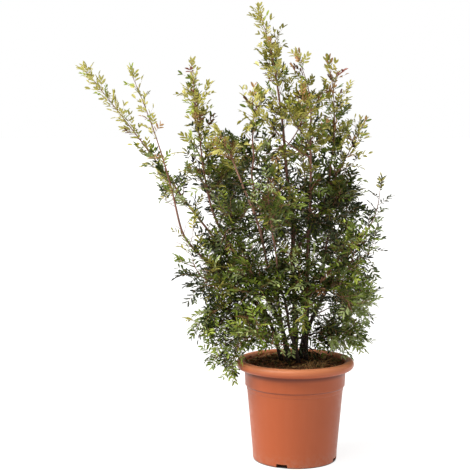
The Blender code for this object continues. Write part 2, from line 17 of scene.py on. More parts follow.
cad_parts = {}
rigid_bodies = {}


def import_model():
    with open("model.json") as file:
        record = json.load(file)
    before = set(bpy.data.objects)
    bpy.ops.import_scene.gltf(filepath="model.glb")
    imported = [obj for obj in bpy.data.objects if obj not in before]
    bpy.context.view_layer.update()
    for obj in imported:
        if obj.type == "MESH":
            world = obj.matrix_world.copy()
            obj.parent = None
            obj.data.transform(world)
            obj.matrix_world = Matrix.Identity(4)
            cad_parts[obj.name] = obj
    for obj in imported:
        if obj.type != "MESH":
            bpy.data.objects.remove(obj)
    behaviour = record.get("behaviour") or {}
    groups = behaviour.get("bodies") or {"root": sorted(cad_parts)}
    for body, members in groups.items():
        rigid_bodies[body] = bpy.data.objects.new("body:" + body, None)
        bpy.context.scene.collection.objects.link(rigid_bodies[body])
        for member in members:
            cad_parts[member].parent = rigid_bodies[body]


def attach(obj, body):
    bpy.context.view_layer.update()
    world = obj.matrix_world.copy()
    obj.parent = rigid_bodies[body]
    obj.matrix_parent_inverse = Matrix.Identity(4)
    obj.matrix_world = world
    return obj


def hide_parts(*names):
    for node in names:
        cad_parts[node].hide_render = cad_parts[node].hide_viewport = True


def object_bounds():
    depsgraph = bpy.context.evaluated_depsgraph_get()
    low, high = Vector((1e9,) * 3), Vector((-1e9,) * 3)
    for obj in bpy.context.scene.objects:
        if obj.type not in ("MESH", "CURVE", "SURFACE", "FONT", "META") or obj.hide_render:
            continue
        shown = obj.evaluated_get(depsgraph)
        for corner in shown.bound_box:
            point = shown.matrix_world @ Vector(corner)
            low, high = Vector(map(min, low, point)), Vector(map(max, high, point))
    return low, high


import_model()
CAD_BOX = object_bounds()

SEED = 23
GOLDEN_ANGLE = math.radians(137.508)
FULL_TURN = 2 * math.pi
# Bearings of things strewn about, a little past a full turn.
BEARINGS = (0, 6.3)

# Camera, at the photo's viewing angle.
CAMERA_PLACE = (-0.203, -3.8, 1.09)
CAMERA_DOWN = math.radians(4.96)
CAMERA_LENS = 87.17
SENSOR = 36.0

# Soft lights, each with its strength, spread, height and bearing from the front, negative on the left.
# The sky lights little, though the camera sees it bright.
LIGHTS = {
    "key": (2.95, 28, 42, -70),
    "front": (0.98, 24, 50, -26),
    "top": (1.20, 50, 74, -95),
    "rim": (0.30, 40, 34, 108),
}
LIGHT_COLOUR = (1.0, 0.98, 0.95)
SKY_LEVEL = 0.18
SKY_SEEN = 1.0
FLOOR_GLOW = 0.88
FLOOR_GLOW_BLUR = 0.004
FLOOR_HALF = 400

# Pot and soil, as in the solids, with the fine steps of the moulding.
RIM_RADIUS = 0.1990
RIM_ROLL = 0.0155
POT_HEIGHT = 0.341
COLLAR_TOP_RADIUS = 0.1710
COLLAR_FOOT_RADIUS = 0.1685
COLLAR_FOOT_HEIGHT = 0.2540
SHOULDER_RADIUS = 0.1640
SHOULDER_HEIGHT = 0.2495
BAND_FOOT_HEIGHT = 0.2385
BAND_STEP = 0.0012
BASE_RADIUS = 0.1425
BASE_ROUND = 0.008
WALL = 0.0035
FLOOR = 0.005
DRAIN_WIDTH = 0.040
DRAIN_HEIGHT = 0.013
DRAIN_DEPTH = 0.026
DRAIN_BEARING = -110.5
DRAIN_COUNT = 4
POT_SEGMENTS = 192
RIM_STEPS = 28
RIM_ANGLES = (192, -62)
BASE_STEPS = 6
SHARPEST_SMOOTH = math.radians(32)
# Bands of painted shade: the shadow under the rim and dark lines at the moulding's steps.
# The height, half width and strength of each.
PAINTED_SHADE_BANDS = ((0.3030, 0.0120, 0.90), (0.2535, 0.0030, 0.90), (0.2385, 0.0012, 0.15))
# The soil: its rise to the middle, its foot inside the pot and its crumbly surface, with painted shade round
# the stems.
SOIL_EDGE_HEIGHT = 0.326
SOIL_CROWN_HEIGHT = 0.335
SOIL_CROWN_RADIUS = 0.105
SOIL_RADIUS = 0.1676
SOIL_FOOT_RADIUS = 0.166
SOIL_FOOT_HEIGHT = 0.300
SOIL_ROUGHNESS = 0.0030
SOIL_LUMPS = 38
SOIL_RINGS = 84
SOIL_SIDES = 150
SOIL_SHADE_RADII = (0.060, 0.120)
GAP = 0.0003

# Litter on the soil, with a tuft of dry blades on the right of the front.
CRUMB_COUNT = 900
CRUMB_SIZES = (0.0012, 0.0042)
LUMP_SIZES = ((0.7, 1.3), (0.7, 1.3), (0.5, 1.0))
CRUMB_REACH = SOIL_RADIUS - 0.006
FALLEN_COUNT = 620
FALLEN_LENGTHS = (0.010, 0.020)
FALLEN_REACH = 0.158
FALLEN_RISES = (0.0012, 0.0045)
FALLEN_WIDTHS = (0.34, 0.46)
FALLEN_CURLS = (0.4, 1.6)
FALLEN_ROLL = 0.5
FALLEN_SLOPE = 0.35
STRAW_COUNT = 150
STRAW_LENGTHS = (0.014, 0.050)
STRAW_REACH = 0.152
STRAW_EDGE = 0.163
STRAW_RISE = 0.002
STRAW_RINGS = 6
STRAW_SIDES = 4
STRAW_SLOPES = (0.0, 0.22)
STRAW_BEND = 0.2
STRAW_RADII = np.linspace(0.0008, 0.0004, STRAW_RINGS)
BLADE_COUNT = 34
BLADE_BEARINGS = (-78, -42)
BLADE_PLACES = (0.105, 0.150)
BLADE_RISES = (0.012, 0.030)
BLADE_RADII = np.linspace(0.0011, 0.0003, STRAW_RINGS)

# Limbs.
WANDER = 0.004
WAVES = (1.4, 2.6)
COLLAR_RISE = 0.014
# A stem starts a little below the soil's uneven surface.
COLLAR_SHARES = np.linspace(-0.2, 0.9, 6)[:, None]
FLARE = 0.45
TAPER_POWER = 0.85
RING_SPACING = 0.0032
BARK_SIDES = 22
# The bark's ridges and cracks: their heights, and how fast they change around a limb and along it.
RIDGE_HEIGHT = 0.09
RIDGES_ROUND = 1.6
RIDGES_ALONG = 26
CRACK_DEPTH = 0.0005
CRACK_DEPTH_SHARE = 0.03
CRACKS_OVER_RIDGES = 2.6
CRACKS_ALONG = 60
# The swelling of a limb where a bough or shoot leaves it, and the flare of the bough or shoot.
KNOT_SWELLING = 0.22
KNOT_REACH = 2.2
FORK_FLARE = 0.5
FORK_FLARE_REACH = 2.5

# Foliage: the space of each mass, and the finer twigs and leaves in it.
MASS_LEAF_SHORTEST = 0.046
MASS_LEAF_PER_REACH = 0.36
END_REACH_IN_LEAVES = 1.06
END_REACH_SHARE = 0.7
SPACE_SAMPLES = 14
SHOOT_STEPS = 4
SPINE_STEPS = 7 * SHOOT_STEPS
SHOOT_SIDES = 7
SIDE_SHOOT_RADIUS = 0.0026
SHOOT_TIP_RADIUS = 0.0009
SHOOT_FLARE_LENGTH = 0.006
NODE_SPACING = 0.0145
TWIG_SPACING = 0.0186
SPACING_SPREAD = (0.85, 1.15)
# Down a shoot, leaves and twigs start a little below its tip and end a share of its length above its foot.
FIRST_LEAF = 0.4 * NODE_SPACING
FIRST_TWIG = 1.2 * TWIG_SPACING
LEAVES_FROM = 0.03
TWIGS_FROM = 0.02
TIP_LEAVES = 3
TIP_LEANS = (0, 30)
LIMB_LEAF_SPACING = 0.024
LIMB_LEAF_RADIUS = 0.0062
LIMB_TWIG_SPACING = 0.008
LIMB_TWIG_LENGTHS = (0.030, 0.075)
# Limbs with leafy twigs, and the heights between which they carry them.
LEAFY_LIMBS = {
    "stem_tall": (1.02, 1.24),
    "stem_northwest": (0.70, 0.90),
    "stem_west": (0.70, 0.86),
    "stem_left": (0.84, 1.02),
    "upper_right": (0.95, 1.02),
    "thin_left": (0.50, 0.62),
    "low_left": (0.50, 0.53),
    "low_right": (0.40, 0.44),
    "stem_middle": (1.00, 1.08),
    "centre": (1.04, 1.10),
    "stem_front": (0.45, 0.60),
    "stem_red": (0.52, 0.62),
}
# The crown opens between these heights, but not on spires whose reach is slender.
OPEN_FROM = 0.86
OPEN_TO = 1.12
OPENNESS = 0.30
SLENDER_REACH = 0.079
# Twigs: thicknesses, leans in degrees, rise, and lengths, with shares of the twig or of the room that it has.
TWIG_RADIUS = 0.0013
FINER_TWIG_SHARE = 0.75
TWIG_TIP_RADIUS = 0.0006
TWIG_POINTS = 5
TWIG_SIDES = 4
TWIG_LEANS = (42, 64)
TWIG_LIFT = 0.175
LIFTED_FROM = -0.2
TWIG_TRIES = (1.0, 0.75, 0.5)
TWIG_ROOM_SHARES = (0.7, 1.0)
SHORTEST_TWIG = 0.022
SHORTEST_FORKED_TWIG = 0.045
SHORTEST_REST = 0.012
FORK_SHARES = (0.45, 0.7)
FORK_FOOT_SHARE = 1.1
FORK_SHORTENING = 0.5
TWIG_TIP_LEAVES = 2
TWIG_TIP_LEANS = (0, 32)
# A mature leaf and a young one. The sizes and widths are its leaflets', the splay is the lean of the first
# pair in degrees, and the reach is the whole leaf's length for a stalk a unit long.
LeafKind = namedtuple("LeafKind", "pairs droops sizes widths splay stalks reach")
MATURE = LeafKind((3, 3, 4, 4), (-0.08, 0.30), (0.43, 0.51), (0.27, 0.35), 58, (0.038, 0.054), 1.34)
YOUNG = LeafKind((2, 3, 3, 4), (-0.15, 0.15), (0.60, 0.70), (0.33, 0.41), 44, (0.027, 0.037), 1.50)
# Leaves are young above this height, give or take the blur.
YOUNG_HEIGHT = 1.00
YOUNG_BLUR = 0.08
LEAF_VARIANTS = 30
LEAF_ALLOWANCE = 0.85 * MATURE.reach * MATURE.stalks[0]
LEAF_LEANS = (32, 60)
LEAF_TILT = 0.9
LEAF_MIDDLE = 0.6
# The pairs of leaflets on a stalk a unit long. Splay is in degrees, roll and lift are in radians.
FIRST_PAIR = 0.28
SPLAY_CHANGE = 20
SPLAY_SPREAD = 9
PAIR_SHIFT = 0.02
END_PAIR_SIZE = 0.86
MIDDLE_PAIR_GAIN = 0.20
LEAFLET_SIZES = (0.9, 1.1)
LEAFLET_FOLD = 0.5
LEAFLET_ROLL = 0.7
PAIR_ROLL = 0.25
LEAFLET_LIFTS = (-0.40, 0.20)
LOST_LEAFLETS = 0.05
STALK_RADII = np.linspace(0.018, 0.010, 3)
STALK_SIDES = 3
# How far foliage keeps off the limbs and the pot, and how far it may pass the plant's box.
LIMB_CLEARANCE = 0.003
POT_CLEARANCE = 0.006
BOX_MARGIN = 0.014

# How full a mass is, and the share of its shoot that carries twigs as well as leaves.
Habit = namedtuple("Habit", "fullness twigs_to", defaults=(1.0,))
PLAIN_HABIT = Habit(1.08)
HABITS = {
    "stem_tall_tip": Habit(1.9, 0.65),
    "stem_west_tip": Habit(1.2, 0.05),
    "stem_northwest_tip": Habit(2.1, 0.12),
    "stem_left_tip": Habit(1.75, 0.80),
    "stem_red_tip": Habit(1.5),
    "centre_tip": Habit(1.25),
    "stem_right_tip": Habit(0.7, 0.30),
    "fork_right_tip": Habit(1.5),
    "fork_up_tip": Habit(1.1),
    "upper_right_tip": Habit(1.3),
    "back_right_tip": Habit(0.8),
    "front_right_tip": Habit(1.1),
    "thin_left_tip": Habit(1.4, 0.90),
    "low_left_tip": Habit(1.1),
    "low_right_tip": Habit(1.9),
    "droop_left_tip": Habit(1.0),
    "stem_west_side_1": Habit(1.0),
    "stem_front_side_1": Habit(1.1),
    "stem_right_side_1": Habit(2.0),
}

# Gaps of open sky in the crown, as the camera sees them against the upright plane through the trunk.
Gap = namedtuple("Gap", "x z radius")
GAPS = (
    # Round the top spire.
    Gap(0.058, 1.312, 0.036),
    Gap(0.066, 1.264, 0.03),
    Gap(-0.038, 1.355, 0.024),
    Gap(-0.021, 1.299, 0.016),
    Gap(-0.13, 1.403, 0.014),
    Gap(-0.117, 1.331, 0.018),
    Gap(-0.12, 1.292, 0.024),
    Gap(-0.112, 1.26, 0.018),
    # On the right of the highest tips.
    Gap(0.146, 1.331, 0.022),
    Gap(0.178, 1.292, 0.02),
    Gap(0.192, 1.235, 0.016),
    Gap(0.19, 1.195, 0.024),
    # Between the lower tips in the middle.
    Gap(-0.017, 1.088, 0.032),
    Gap(-0.103, 1.117, 0.018),
    Gap(-0.2, 1.115, 0.028),
    Gap(-0.203, 1.225, 0.025),
    Gap(-0.19, 1.19, 0.02),
    Gap(-0.11, 1.173, 0.015),
    # Round the left spire.
    Gap(-0.306, 1.295, 0.016),
    Gap(-0.4, 1.325, 0.03),
    Gap(-0.392, 1.24, 0.018),
    Gap(-0.374, 1.156, 0.034),
    Gap(-0.372, 1.108, 0.024),
    Gap(-0.364, 1.108, 0.024),
    # At the right edge.
    Gap(0.244, 1.076, 0.018),
    Gap(0.246, 1.111, 0.022),
    Gap(0.223, 1.041, 0.016),
    Gap(0.222, 1.031, 0.018),
    Gap(0.202, 0.972, 0.02),
    Gap(0.226, 0.862, 0.03),
    # Round the foot of the two spires at the far left.
    Gap(-0.456, 1.068, 0.024),
    Gap(-0.499, 1.081, 0.018),
    Gap(-0.415, 0.985, 0.028),
    Gap(-0.466, 0.925, 0.032),
    Gap(-0.346, 0.894, 0.026),
    Gap(-0.404, 0.844, 0.028),
    Gap(-0.374, 0.821, 0.018),
    Gap(-0.308, 0.845, 0.018),
    Gap(-0.272, 0.805, 0.025),
    # Low on the left.
    Gap(-0.385, 0.7, 0.02),
    Gap(-0.33, 0.655, 0.026),
    Gap(-0.388, 0.648, 0.018),
    Gap(-0.166, 0.591, 0.015),
    Gap(-0.334, 0.52, 0.024),
    Gap(-0.365, 0.442, 0.022),
    Gap(-0.255, 0.287, 0.026),
    # Low in the middle and on the right.
    Gap(0.052, 0.474, 0.024),
    Gap(0.1, 0.506, 0.024),
    Gap(0.11, 0.554, 0.016),
    Gap(0.072, 0.65, 0.014),
    Gap(0.206, 0.36, 0.02),
)
GAP_OPENNESS = 0.93
# Deep in the crown the shade has bared part of the twigs.
SHADE_REACH = 0.17
SHADE_HEIGHTS = (0.43, 0.72)
SHADE_BARE = 0.42
# Stems that show between their leaves: the heights, and how far to each side the view is clear.
SHOWN_STEMS = {"stem_red": (0.66, 0.93)}
SHOWN_SIDE = 0.010
# The soil's front edge shows under the leaves.
SOIL_VIEW = (-0.178, 0.150)
SOIL_VIEW_HEIGHT = 0.372

Limb = namedtuple("Limb", "name parent foot bends tip thick thin")
LIMBS = (
    Limb("stem_tall", None, (0, 0), [(-0.015, 0, 0.83)], (-0.06, 0, 1.24), 0.011, 0.0032),
    Limb("stem_west", None, (-0.048, -0.012), [(-0.1, -0.025, 0.49), (-0.29, -0.045, 0.665),
         (-0.37, -0.058, 0.765)], (-0.398, -0.065, 0.86), 0.007, 0.0032),
    Limb("stem_northwest", None, (-0.05, 0.03), [(-0.095, 0.04, 0.48), (-0.27, 0.05, 0.735)],
         (-0.388, 0.075, 0.892), 0.0065, 0.0032),
    Limb("stem_left", None, (-0.02, 0.036), [(-0.06, 0.045, 0.48), (-0.186, 0.05, 0.67),
         (-0.288, 0.035, 0.87)], (-0.314, 0.025, 1.02), 0.008, 0.0028),
    Limb("stem_red", None, (-0.028, -0.042), [(-0.133, -0.075, 0.81)], (-0.205, -0.095, 1), 0.0065, 0.0028),
    Limb("stem_middle", None, (0.036, -0.014), [(0.042, -0.045, 0.82)], (0.046, -0.05, 1.15), 0.007, 0.0028),
    Limb("stem_right", None, (0.02, 0.032), [(0.11, 0.035, 0.58)], (0.236, 0.048, 0.758), 0.009, 0.0028),
    Limb("stem_front", None, (0.008, -0.054), [(-0.045, -0.14, 0.56)], (-0.08, -0.2, 0.76), 0.006, 0.0026),
    Limb("stem_back", None, (0.024, 0.07), [(0.056, 0.16, 0.625)], (0.046, 0.2, 0.9), 0.008, 0.0028),
    Limb("fork_right", "stem_tall", 0.7, [(0.085, 0.03, 0.835)], (0.12, 0.022, 1.01), 0.0065, 0.0028),
    Limb("upper_right", "fork_right", 0.915, [(0.145, 0.032, 0.97)], (0.17, 0.03, 1.02), 0.0036, 0.002),
    Limb("low_right", "stem_tall", 0.405, [(0.034, -0.038, 0.426)], (0.07, -0.04, 0.436), 0.0048, 0.0026),
    Limb("centre", "stem_red", 0.835, [(-0.144, -0.055, 0.97)], (-0.144, -0.035, 1.1), 0.004, 0.0024),
    Limb("low_left", "stem_west", 0.5, [(-0.19, -0.062, 0.515)], (-0.235, -0.072, 0.52), 0.004, 0.0024),
    Limb("droop_left", "stem_northwest", 0.41, [(-0.15, 0.01, 0.43)],
         (-0.205, -0.015, 0.408), 0.0036, 0.0022),
    Limb("thin_left", "stem_west", 0.59, [(-0.258, -0.08, 0.602)], (-0.292, -0.086, 0.618), 0.0034, 0.0022),
    Limb("fork_up", "stem_right", 0.56, [(0.1, 0.065, 0.68)], (0.14, 0.09, 0.8), 0.0046, 0.0024),
    Limb("front_right", "stem_front", 0.45, [(0.06, -0.15, 0.56)], (0.125, -0.175, 0.63), 0.004, 0.0022),
    Limb("back_left", "stem_left", 0.5, [(-0.13, 0.14, 0.62)], (-0.2, 0.19, 0.76), 0.0046, 0.0024),
    Limb("back_right", "stem_back", 0.56, [(0.135, 0.19, 0.68)], (0.18, 0.205, 0.78), 0.0046, 0.0024),
)

TipShoot = namedtuple("TipShoot", "tip reach")
TIP_SHOOTS = {
    "stem_tall": TipShoot((-0.118, -0.01, 1.482), 0.066),
    "stem_west": TipShoot((-0.53, -0.11, 1.275), 0.064),
    "stem_northwest": TipShoot((-0.705, 0.13, 1.302), 0.066),
    "stem_left": TipShoot((-0.345, 0, 1.303), 0.082),
    "stem_red": TipShoot((-0.245, -0.115, 1.085), 0.085),
    "stem_middle": TipShoot((0.01, -0.045, 1.325), 0.074),
    "stem_right": TipShoot((0.288, 0.055, 0.905), 0.062),
    "stem_front": TipShoot((-0.1, -0.235, 0.94), 0.12),
    "stem_back": TipShoot((0.02, 0.2, 1.17), 0.11),
    "fork_right": TipShoot((0.113, 0, 1.305), 0.095),
    "upper_right": TipShoot((0.215, 0.02, 1.11), 0.08),
    "low_right": TipShoot((0.195, -0.06, 0.428), 0.105),
    "centre": TipShoot((-0.146, -0.03, 1.215), 0.08),
    "low_left": TipShoot((-0.318, -0.09, 0.478), 0.105),
    "droop_left": TipShoot((-0.236, -0.082, 0.335), 0.098),
    "thin_left": TipShoot((-0.345, -0.095, 0.7), 0.098),
    "fork_up": TipShoot((0.155, 0.105, 0.95), 0.11),
    "front_right": TipShoot((0.185, -0.2, 0.765), 0.115),
    "back_left": TipShoot((-0.225, 0.23, 0.93), 0.13),
    "back_right": TipShoot((0.192, 0.215, 0.882), 0.11),
}

SideShoots = namedtuple("SideShoots", "count low high bearing length reach lean_first lean_last")
SIDE_SHOOTS = {
    "stem_tall": SideShoots(2, 0.9, 1.05, 165, 0.19, 0.11, 60, 25),
    "stem_middle": SideShoots(3, 0.54, 1.02, 255, 0.21, 0.13, 65, 30),
    "stem_left": SideShoots(2, 0.72, 0.9, 270, 0.19, 0.12, 65, 30),
    "stem_red": SideShoots(2, 0.54, 0.78, 235, 0.21, 0.13, 70, 35),
    "stem_west": SideShoots(2, 0.42, 0.64, 195, 0.2, 0.12, 90, 65),
    "stem_northwest": SideShoots(1, 0.6, 0.6, 200, 0.15, 0.115, 70, 30),
    "stem_right": SideShoots(2, 0.48, 0.68, 340, 0.175, 0.12, 85, 50),
    "stem_front": SideShoots(2, 0.4, 0.56, 210, 0.2, 0.13, 85, 55),
    "stem_back": SideShoots(2, 0.46, 0.72, 20, 0.23, 0.125, 75, 50),
}

# The tints of the leaves: base colour, roughness and the slot in the record.
TINTS = {
    "deep": ((0.018, 0.026, 0.004), 0.38, "leaf_green"),
    "dark": ((0.042, 0.059, 0.007), 0.38, "leaf_green"),
    "mid": ((0.086, 0.122, 0.012), 0.38, "leaf_green"),
    "bright": ((0.17, 0.23, 0.022), 0.38, "leaf_green"),
    "pale": ((0.36, 0.43, 0.16), 0.4, "leaf_green"),
    "fresh": ((0.36, 0.43, 0.06), 0.42, "leaf_green"),
    "russet": ((0.15, 0.07, 0.024), 0.44, "leaf_olive"),
    "moss": ((0.215, 0.205, 0.028), 0.42, "leaf_olive"),
    "olive": ((0.4, 0.37, 0.066), 0.42, "leaf_olive"),
    "straw": ((0.58, 0.535, 0.15), 0.42, "leaf_olive"),
    "yellow": ((0.7, 0.65, 0.23), 0.42, "leaf_olive"),
    "bronze": ((0.43, 0.24, 0.09), 0.44, "leaf_olive"),
    "red": ((0.27, 0.085, 0.06), 0.44, "leaf_olive"),
}

# How the tints are dealt out, as shares: deep inside the crown, on its outside, low on each side and in
# front, and high on the young shoots, with their own tips and the redder ones. Dealing the greens paints
# light and shade: more of the darker ones deep inside the crown as painted shade, more of the pale and bright
# ones outside, low and in front as painted light.
DEALS = {
    "inside": dict(deep=6, dark=4, mid=2.6, bright=2.2, fresh=0.2, russet=0.5, moss=0.8),
    "outside": dict(deep=3.2, dark=3, mid=2.4, bright=3, pale=1.2, fresh=0.4, olive=0.5, russet=0.3, moss=1),
    "low_left": dict(deep=2.2, dark=2.2, mid=2, bright=3, pale=4.2, fresh=0.7, olive=0.5, russet=0.2,
                     moss=0.5),
    "low_right": dict(deep=0.4, dark=0.6, mid=1.4, bright=2.8, pale=10, fresh=0.6, olive=0.3),
    "low_front": dict(deep=1, dark=1, mid=2, bright=4, pale=1.4, fresh=1.6),
    "young": dict(dark=0.4, mid=0.8, bright=2, pale=1, fresh=0.9, moss=3, olive=4, straw=2, yellow=0.3,
                  bronze=0.5, russet=0.4),
    "tip": dict(bright=0.3, fresh=0.8, moss=0.6, olive=3.8, straw=3.8, yellow=1, bronze=0.5, red=0.1),
    "red_tip": dict(bright=0.5, fresh=0.4, moss=1.4, olive=3, straw=1.4, yellow=0.3, bronze=2.2, russet=0.8,
                    red=0.9),
}
RED_TIPS = ("fork_right", "stem_middle", "centre")
# Between these heights the tall stem marks the middle of the crown, from which depth is counted.
CENTRE_FOOT = 0.34
CENTRE_TOP = 1.24
# Where each deal holds, with the blur of its edges. A slender spire counts as higher than it is.
DEPTH_BLUR = 0.06
HEIGHT_BLUR = 0.10
SLENDER_LIFT = 0.12
YOUNG_FROM = 1.04
TIP_FROM = 0.5
FRONT_FROM = -0.06
FRONT_TOP = 0.50
INSIDE_DEPTH = 0.17
LOW_INSIDE_DEPTH = 0.10
LOW_INSIDE_TOP = 0.55
RIGHT_FROM = 0.05
RIGHT_TOP = 0.56
LEFT_TOP = 0.52
# The share of leaves that have a tint of their own and not their twig's.
OWN_TINT = 0.55


# Materials.

class Finish:
    """A material's shader, with short calls for the nodes that feed it."""

    def __init__(self, name, colour, roughness, **values):
        self.material = bpy.data.materials.new(name)
        self.material.use_nodes = True
        self.tree = self.material.node_tree
        self.shader = self.tree.nodes["Principled BSDF"]
        self.shader.inputs["Base Color"].default_value = (*colour, 1)
        self.shader.inputs["Roughness"].default_value = roughness
        for socket, value in values.items():
            self.shader.inputs[socket.replace("_", " ")].default_value = value
        self.place = self.tree.nodes.new("ShaderNodeTexCoord").outputs["Object"]

    def node(self, kind, inputs, **settings):
        made = self.tree.nodes.new(kind)
        for key, value in settings.items():
            setattr(made, key, value)
        for key, value in inputs.items():
            if isinstance(value, bpy.types.NodeSocket):
                self.tree.links.new(value, made.inputs[key])
            else:
                made.inputs[key].default_value = value
        return made

    def step(self, operation, *values):
        """One step of arithmetic."""
        return self.node("ShaderNodeMath", dict(enumerate(values)), operation=operation).outputs[0]

    def times(self, first, second):
        return self.step("MULTIPLY", first, second)

    def band(self, value, middle, half):
        """One in the middle of a band of values and nothing outside it."""
        away = self.step("ABSOLUTE", self.step("SUBTRACT", value, middle))
        return self.spread(away, 0.0, half, 1.0, 0.0)

    def stretched(self, stretch):
        return self.node("ShaderNodeMapping", {"Vector": self.place, "Scale": stretch}).outputs[0]

    def noise(self, scale, detail=3.0, stretch=(1, 1, 1), roughness=0.55):
        values = {"Vector": self.stretched(stretch), "Scale": scale, "Detail": detail, "Roughness": roughness}
        return self.node("ShaderNodeTexNoise", values).outputs["Fac"]

    def spots(self, scale, stretch=(1, 1, 1)):
        values = {"Vector": self.stretched(stretch), "Scale": scale}
        return self.node("ShaderNodeTexVoronoi", values).outputs["Distance"]

    def spread(self, value, low, high, first=0.0, last=1.0):
        """The value from low to high, spread over first to last."""
        values = {"Value": value, "From Min": low, "From Max": high, "To Min": first, "To Max": last}
        return self.node("ShaderNodeMapRange", values).outputs[0]

    def height(self):
        return self.node("ShaderNodeSeparateXYZ", {0: self.place}).outputs["Z"]

    def out(self):
        """The distance from the pot's axis."""
        flat = self.node("ShaderNodeVectorMath", {0: self.place, 1: (1, 1, 0)}, operation="MULTIPLY")
        return self.length(flat.outputs[0])

    def length(self, vector):
        return self.node("ShaderNodeVectorMath", {0: vector}, operation="LENGTH").outputs["Value"]

    def mix(self, share, first, second):
        """Two colours by the share of the second. Each is plain or comes from a node."""
        first, second = (c if isinstance(c, bpy.types.NodeSocket) else (*c, 1) for c in (first, second))
        return self.node("ShaderNodeMix", {0: share, 6: first, 7: second}, data_type="RGBA").outputs[2]

    def grained(self, grain, dark, light):
        """Dark and light by the grain."""
        return self.mix(self.spread(grain, 0.35, 0.65), dark, light)

    def feed(self, socket, value):
        self.tree.links.new(value, self.shader.inputs[socket])

    def roughen(self, value, low, high):
        self.feed("Roughness", self.spread(value, 0.3, 0.7, low, high))

    def bump(self, height, strength, distance, under=None):
        values = {"Height": height, "Strength": strength, "Distance": distance}
        if under:
            values["Normal"] = under
        return self.node("ShaderNodeBump", values).outputs[0]


def leaf_finish(tint):
    colour, roughness, _ = TINTS[tint]
    made = Finish(f"leaf_{tint}", colour, roughness, Specular_IOR_Level=0.3)
    made.roughen(made.noise(140), roughness - 0.08, roughness + 0.10)
    made.feed("Normal", made.bump(made.noise(900, 2.0), 0.25, 0.0004))
    return made.material


def bark_finish(name, dark, light):
    """Dark and cracked at the foot, red-brown above, with pale pores and a grey bloom."""
    made = Finish(name, (0.06, 0.035, 0.024), 0.8)
    grain = made.noise(260, 5.0, (1, 1, 0.22), 0.65)
    old = made.grained(grain, (0.014, 0.009, 0.006), (0.055, 0.032, 0.022))
    young = made.grained(grain, dark, light)
    patches = made.noise(24, 2.0)
    age = made.step("ADD", made.height(), made.spread(patches, 0.3, 0.7, -0.10, 0.10))
    colour = made.mix(made.spread(age, 0.46, 0.84), old, young)
    pores = made.spread(made.spots(330, (1, 1, 0.6)), 0.16, 0.24, 0.55, 0.0)
    colour = made.mix(pores, colour, (0.300, 0.220, 0.160))
    bloom = made.times(made.spread(made.noise(60, 3.0), 0.62, 0.78, 0.0, 0.35), made.spread(age, 0.46, 0.70))
    made.feed("Base Color", made.mix(bloom, colour, (0.190, 0.170, 0.140)))
    made.roughen(grain, 0.68, 0.92)
    made.feed("Normal", made.bump(grain, 0.6, 0.0012))
    return made.material


def twig_finish(name, dark, light):
    made = Finish(name, light, 0.6)
    grain = made.noise(420, 3.0, (1, 1, 0.4))
    made.feed("Base Color", made.grained(grain, dark, light))
    made.roughen(grain, 0.5, 0.72)
    made.feed("Normal", made.bump(grain, 0.35, 0.0005))
    return made.material


def pot_finish():
    """Moulded terracotta-coloured plastic: satin, faintly mottled, with a dusty foot and a painted highlight
    on the rim.
    """
    made = Finish("pot_finish", (0.56, 0.17, 0.08), 0.4, Specular_IOR_Level=0.35)
    cloud = made.noise(9, 3.0)
    colour = made.mix(made.spread(cloud, 0.3, 0.7), (0.380, 0.078, 0.019), (0.402, 0.084, 0.022))
    streak = made.noise(36, 3.0, (1, 1, 0.08))
    colour = made.mix(made.spread(streak, 0.45, 0.75, 0.0, 0.10), colour, (0.480, 0.137, 0.060))
    foot = made.spread(made.height(), 0.0, 0.05, 0.55, 0.0)
    dust = made.times(foot, made.spread(made.noise(70, 4.0), 0.4, 0.7))
    colour = made.mix(dust, colour, (0.360, 0.180, 0.110))
    # Painted highlight: the rim's top lighter, as if lit from above.
    colour = made.mix(made.spread(made.height(), 0.318, 0.338, 0.0, 1.0), colour, (0.700, 0.250, 0.112))
    # Painted shade: dark bands under the rim and at the steps of the moulding.
    for middle, half, strength in PAINTED_SHADE_BANDS:
        shade = made.times(made.band(made.height(), middle, half), strength)
        colour = made.mix(shade, colour, (0.120, 0.022, 0.008))
    speck = made.spread(made.noise(520, 2.0), 0.70, 0.78, 0.0, 0.35)
    made.feed("Base Color", made.mix(speck, colour, (0.380, 0.110, 0.050)))
    made.roughen(made.noise(55, 4.0), 0.32, 0.46)
    peel = made.bump(made.noise(900, 2.0), 0.12, 0.0003)
    made.feed("Normal", made.bump(made.noise(12, 2.0), 0.04, 0.001, under=peel))
    return made.material


def soil_finish(name, dark, light, grit):
    """Crumbly soil, darker where the stems stand: painted shade under the crown."""
    made = Finish(name, dark, 0.95)
    crumbs = made.noise(190, 5.0, roughness=0.7)
    colour = made.mix(made.spread(crumbs, 0.35, 0.68), dark, light)
    colour = made.mix(made.spread(made.spots(260), 0.10, 0.16, 0.5, 0.0), colour, grit)
    patches = made.spread(made.noise(30, 2.0), 0.3, 0.7, -0.02, 0.02)
    out = made.step("ADD", made.out(), patches)
    # Painted shade: darker towards the middle, under the crown.
    made.feed("Base Color", made.mix(made.spread(out, *SOIL_SHADE_RADII, 0.75, 0.0), colour, dark))
    made.roughen(crumbs, 0.88, 1.0)
    made.feed("Normal", made.bump(crumbs, 0.9, 0.003))
    return made.material


def litter_finish(name, dark, light):
    made = Finish(name, light, 0.75)
    stain = made.noise(300, 3.0)
    made.feed("Base Color", made.grained(stain, dark, light))
    made.roughen(stain, 0.65, 0.9)
    made.feed("Normal", made.bump(stain, 0.4, 0.0006))
    return made.material


def floor_finish():
    """Pale and softly glowing, but not under the pot."""
    made = Finish("floor_finish", (0.25, 0.25, 0.25), 0.85, Emission_Color=(1, 1, 1, 1))
    made.roughen(made.noise(3, 2.0), 0.8, 0.9)
    out, dark_to = made.length(made.place), BASE_RADIUS - FLOOR_GLOW_BLUR
    made.feed("Emission Strength", made.spread(out, dark_to, BASE_RADIUS, 0.0, FLOOR_GLOW))
    return made.material


# Meshes.

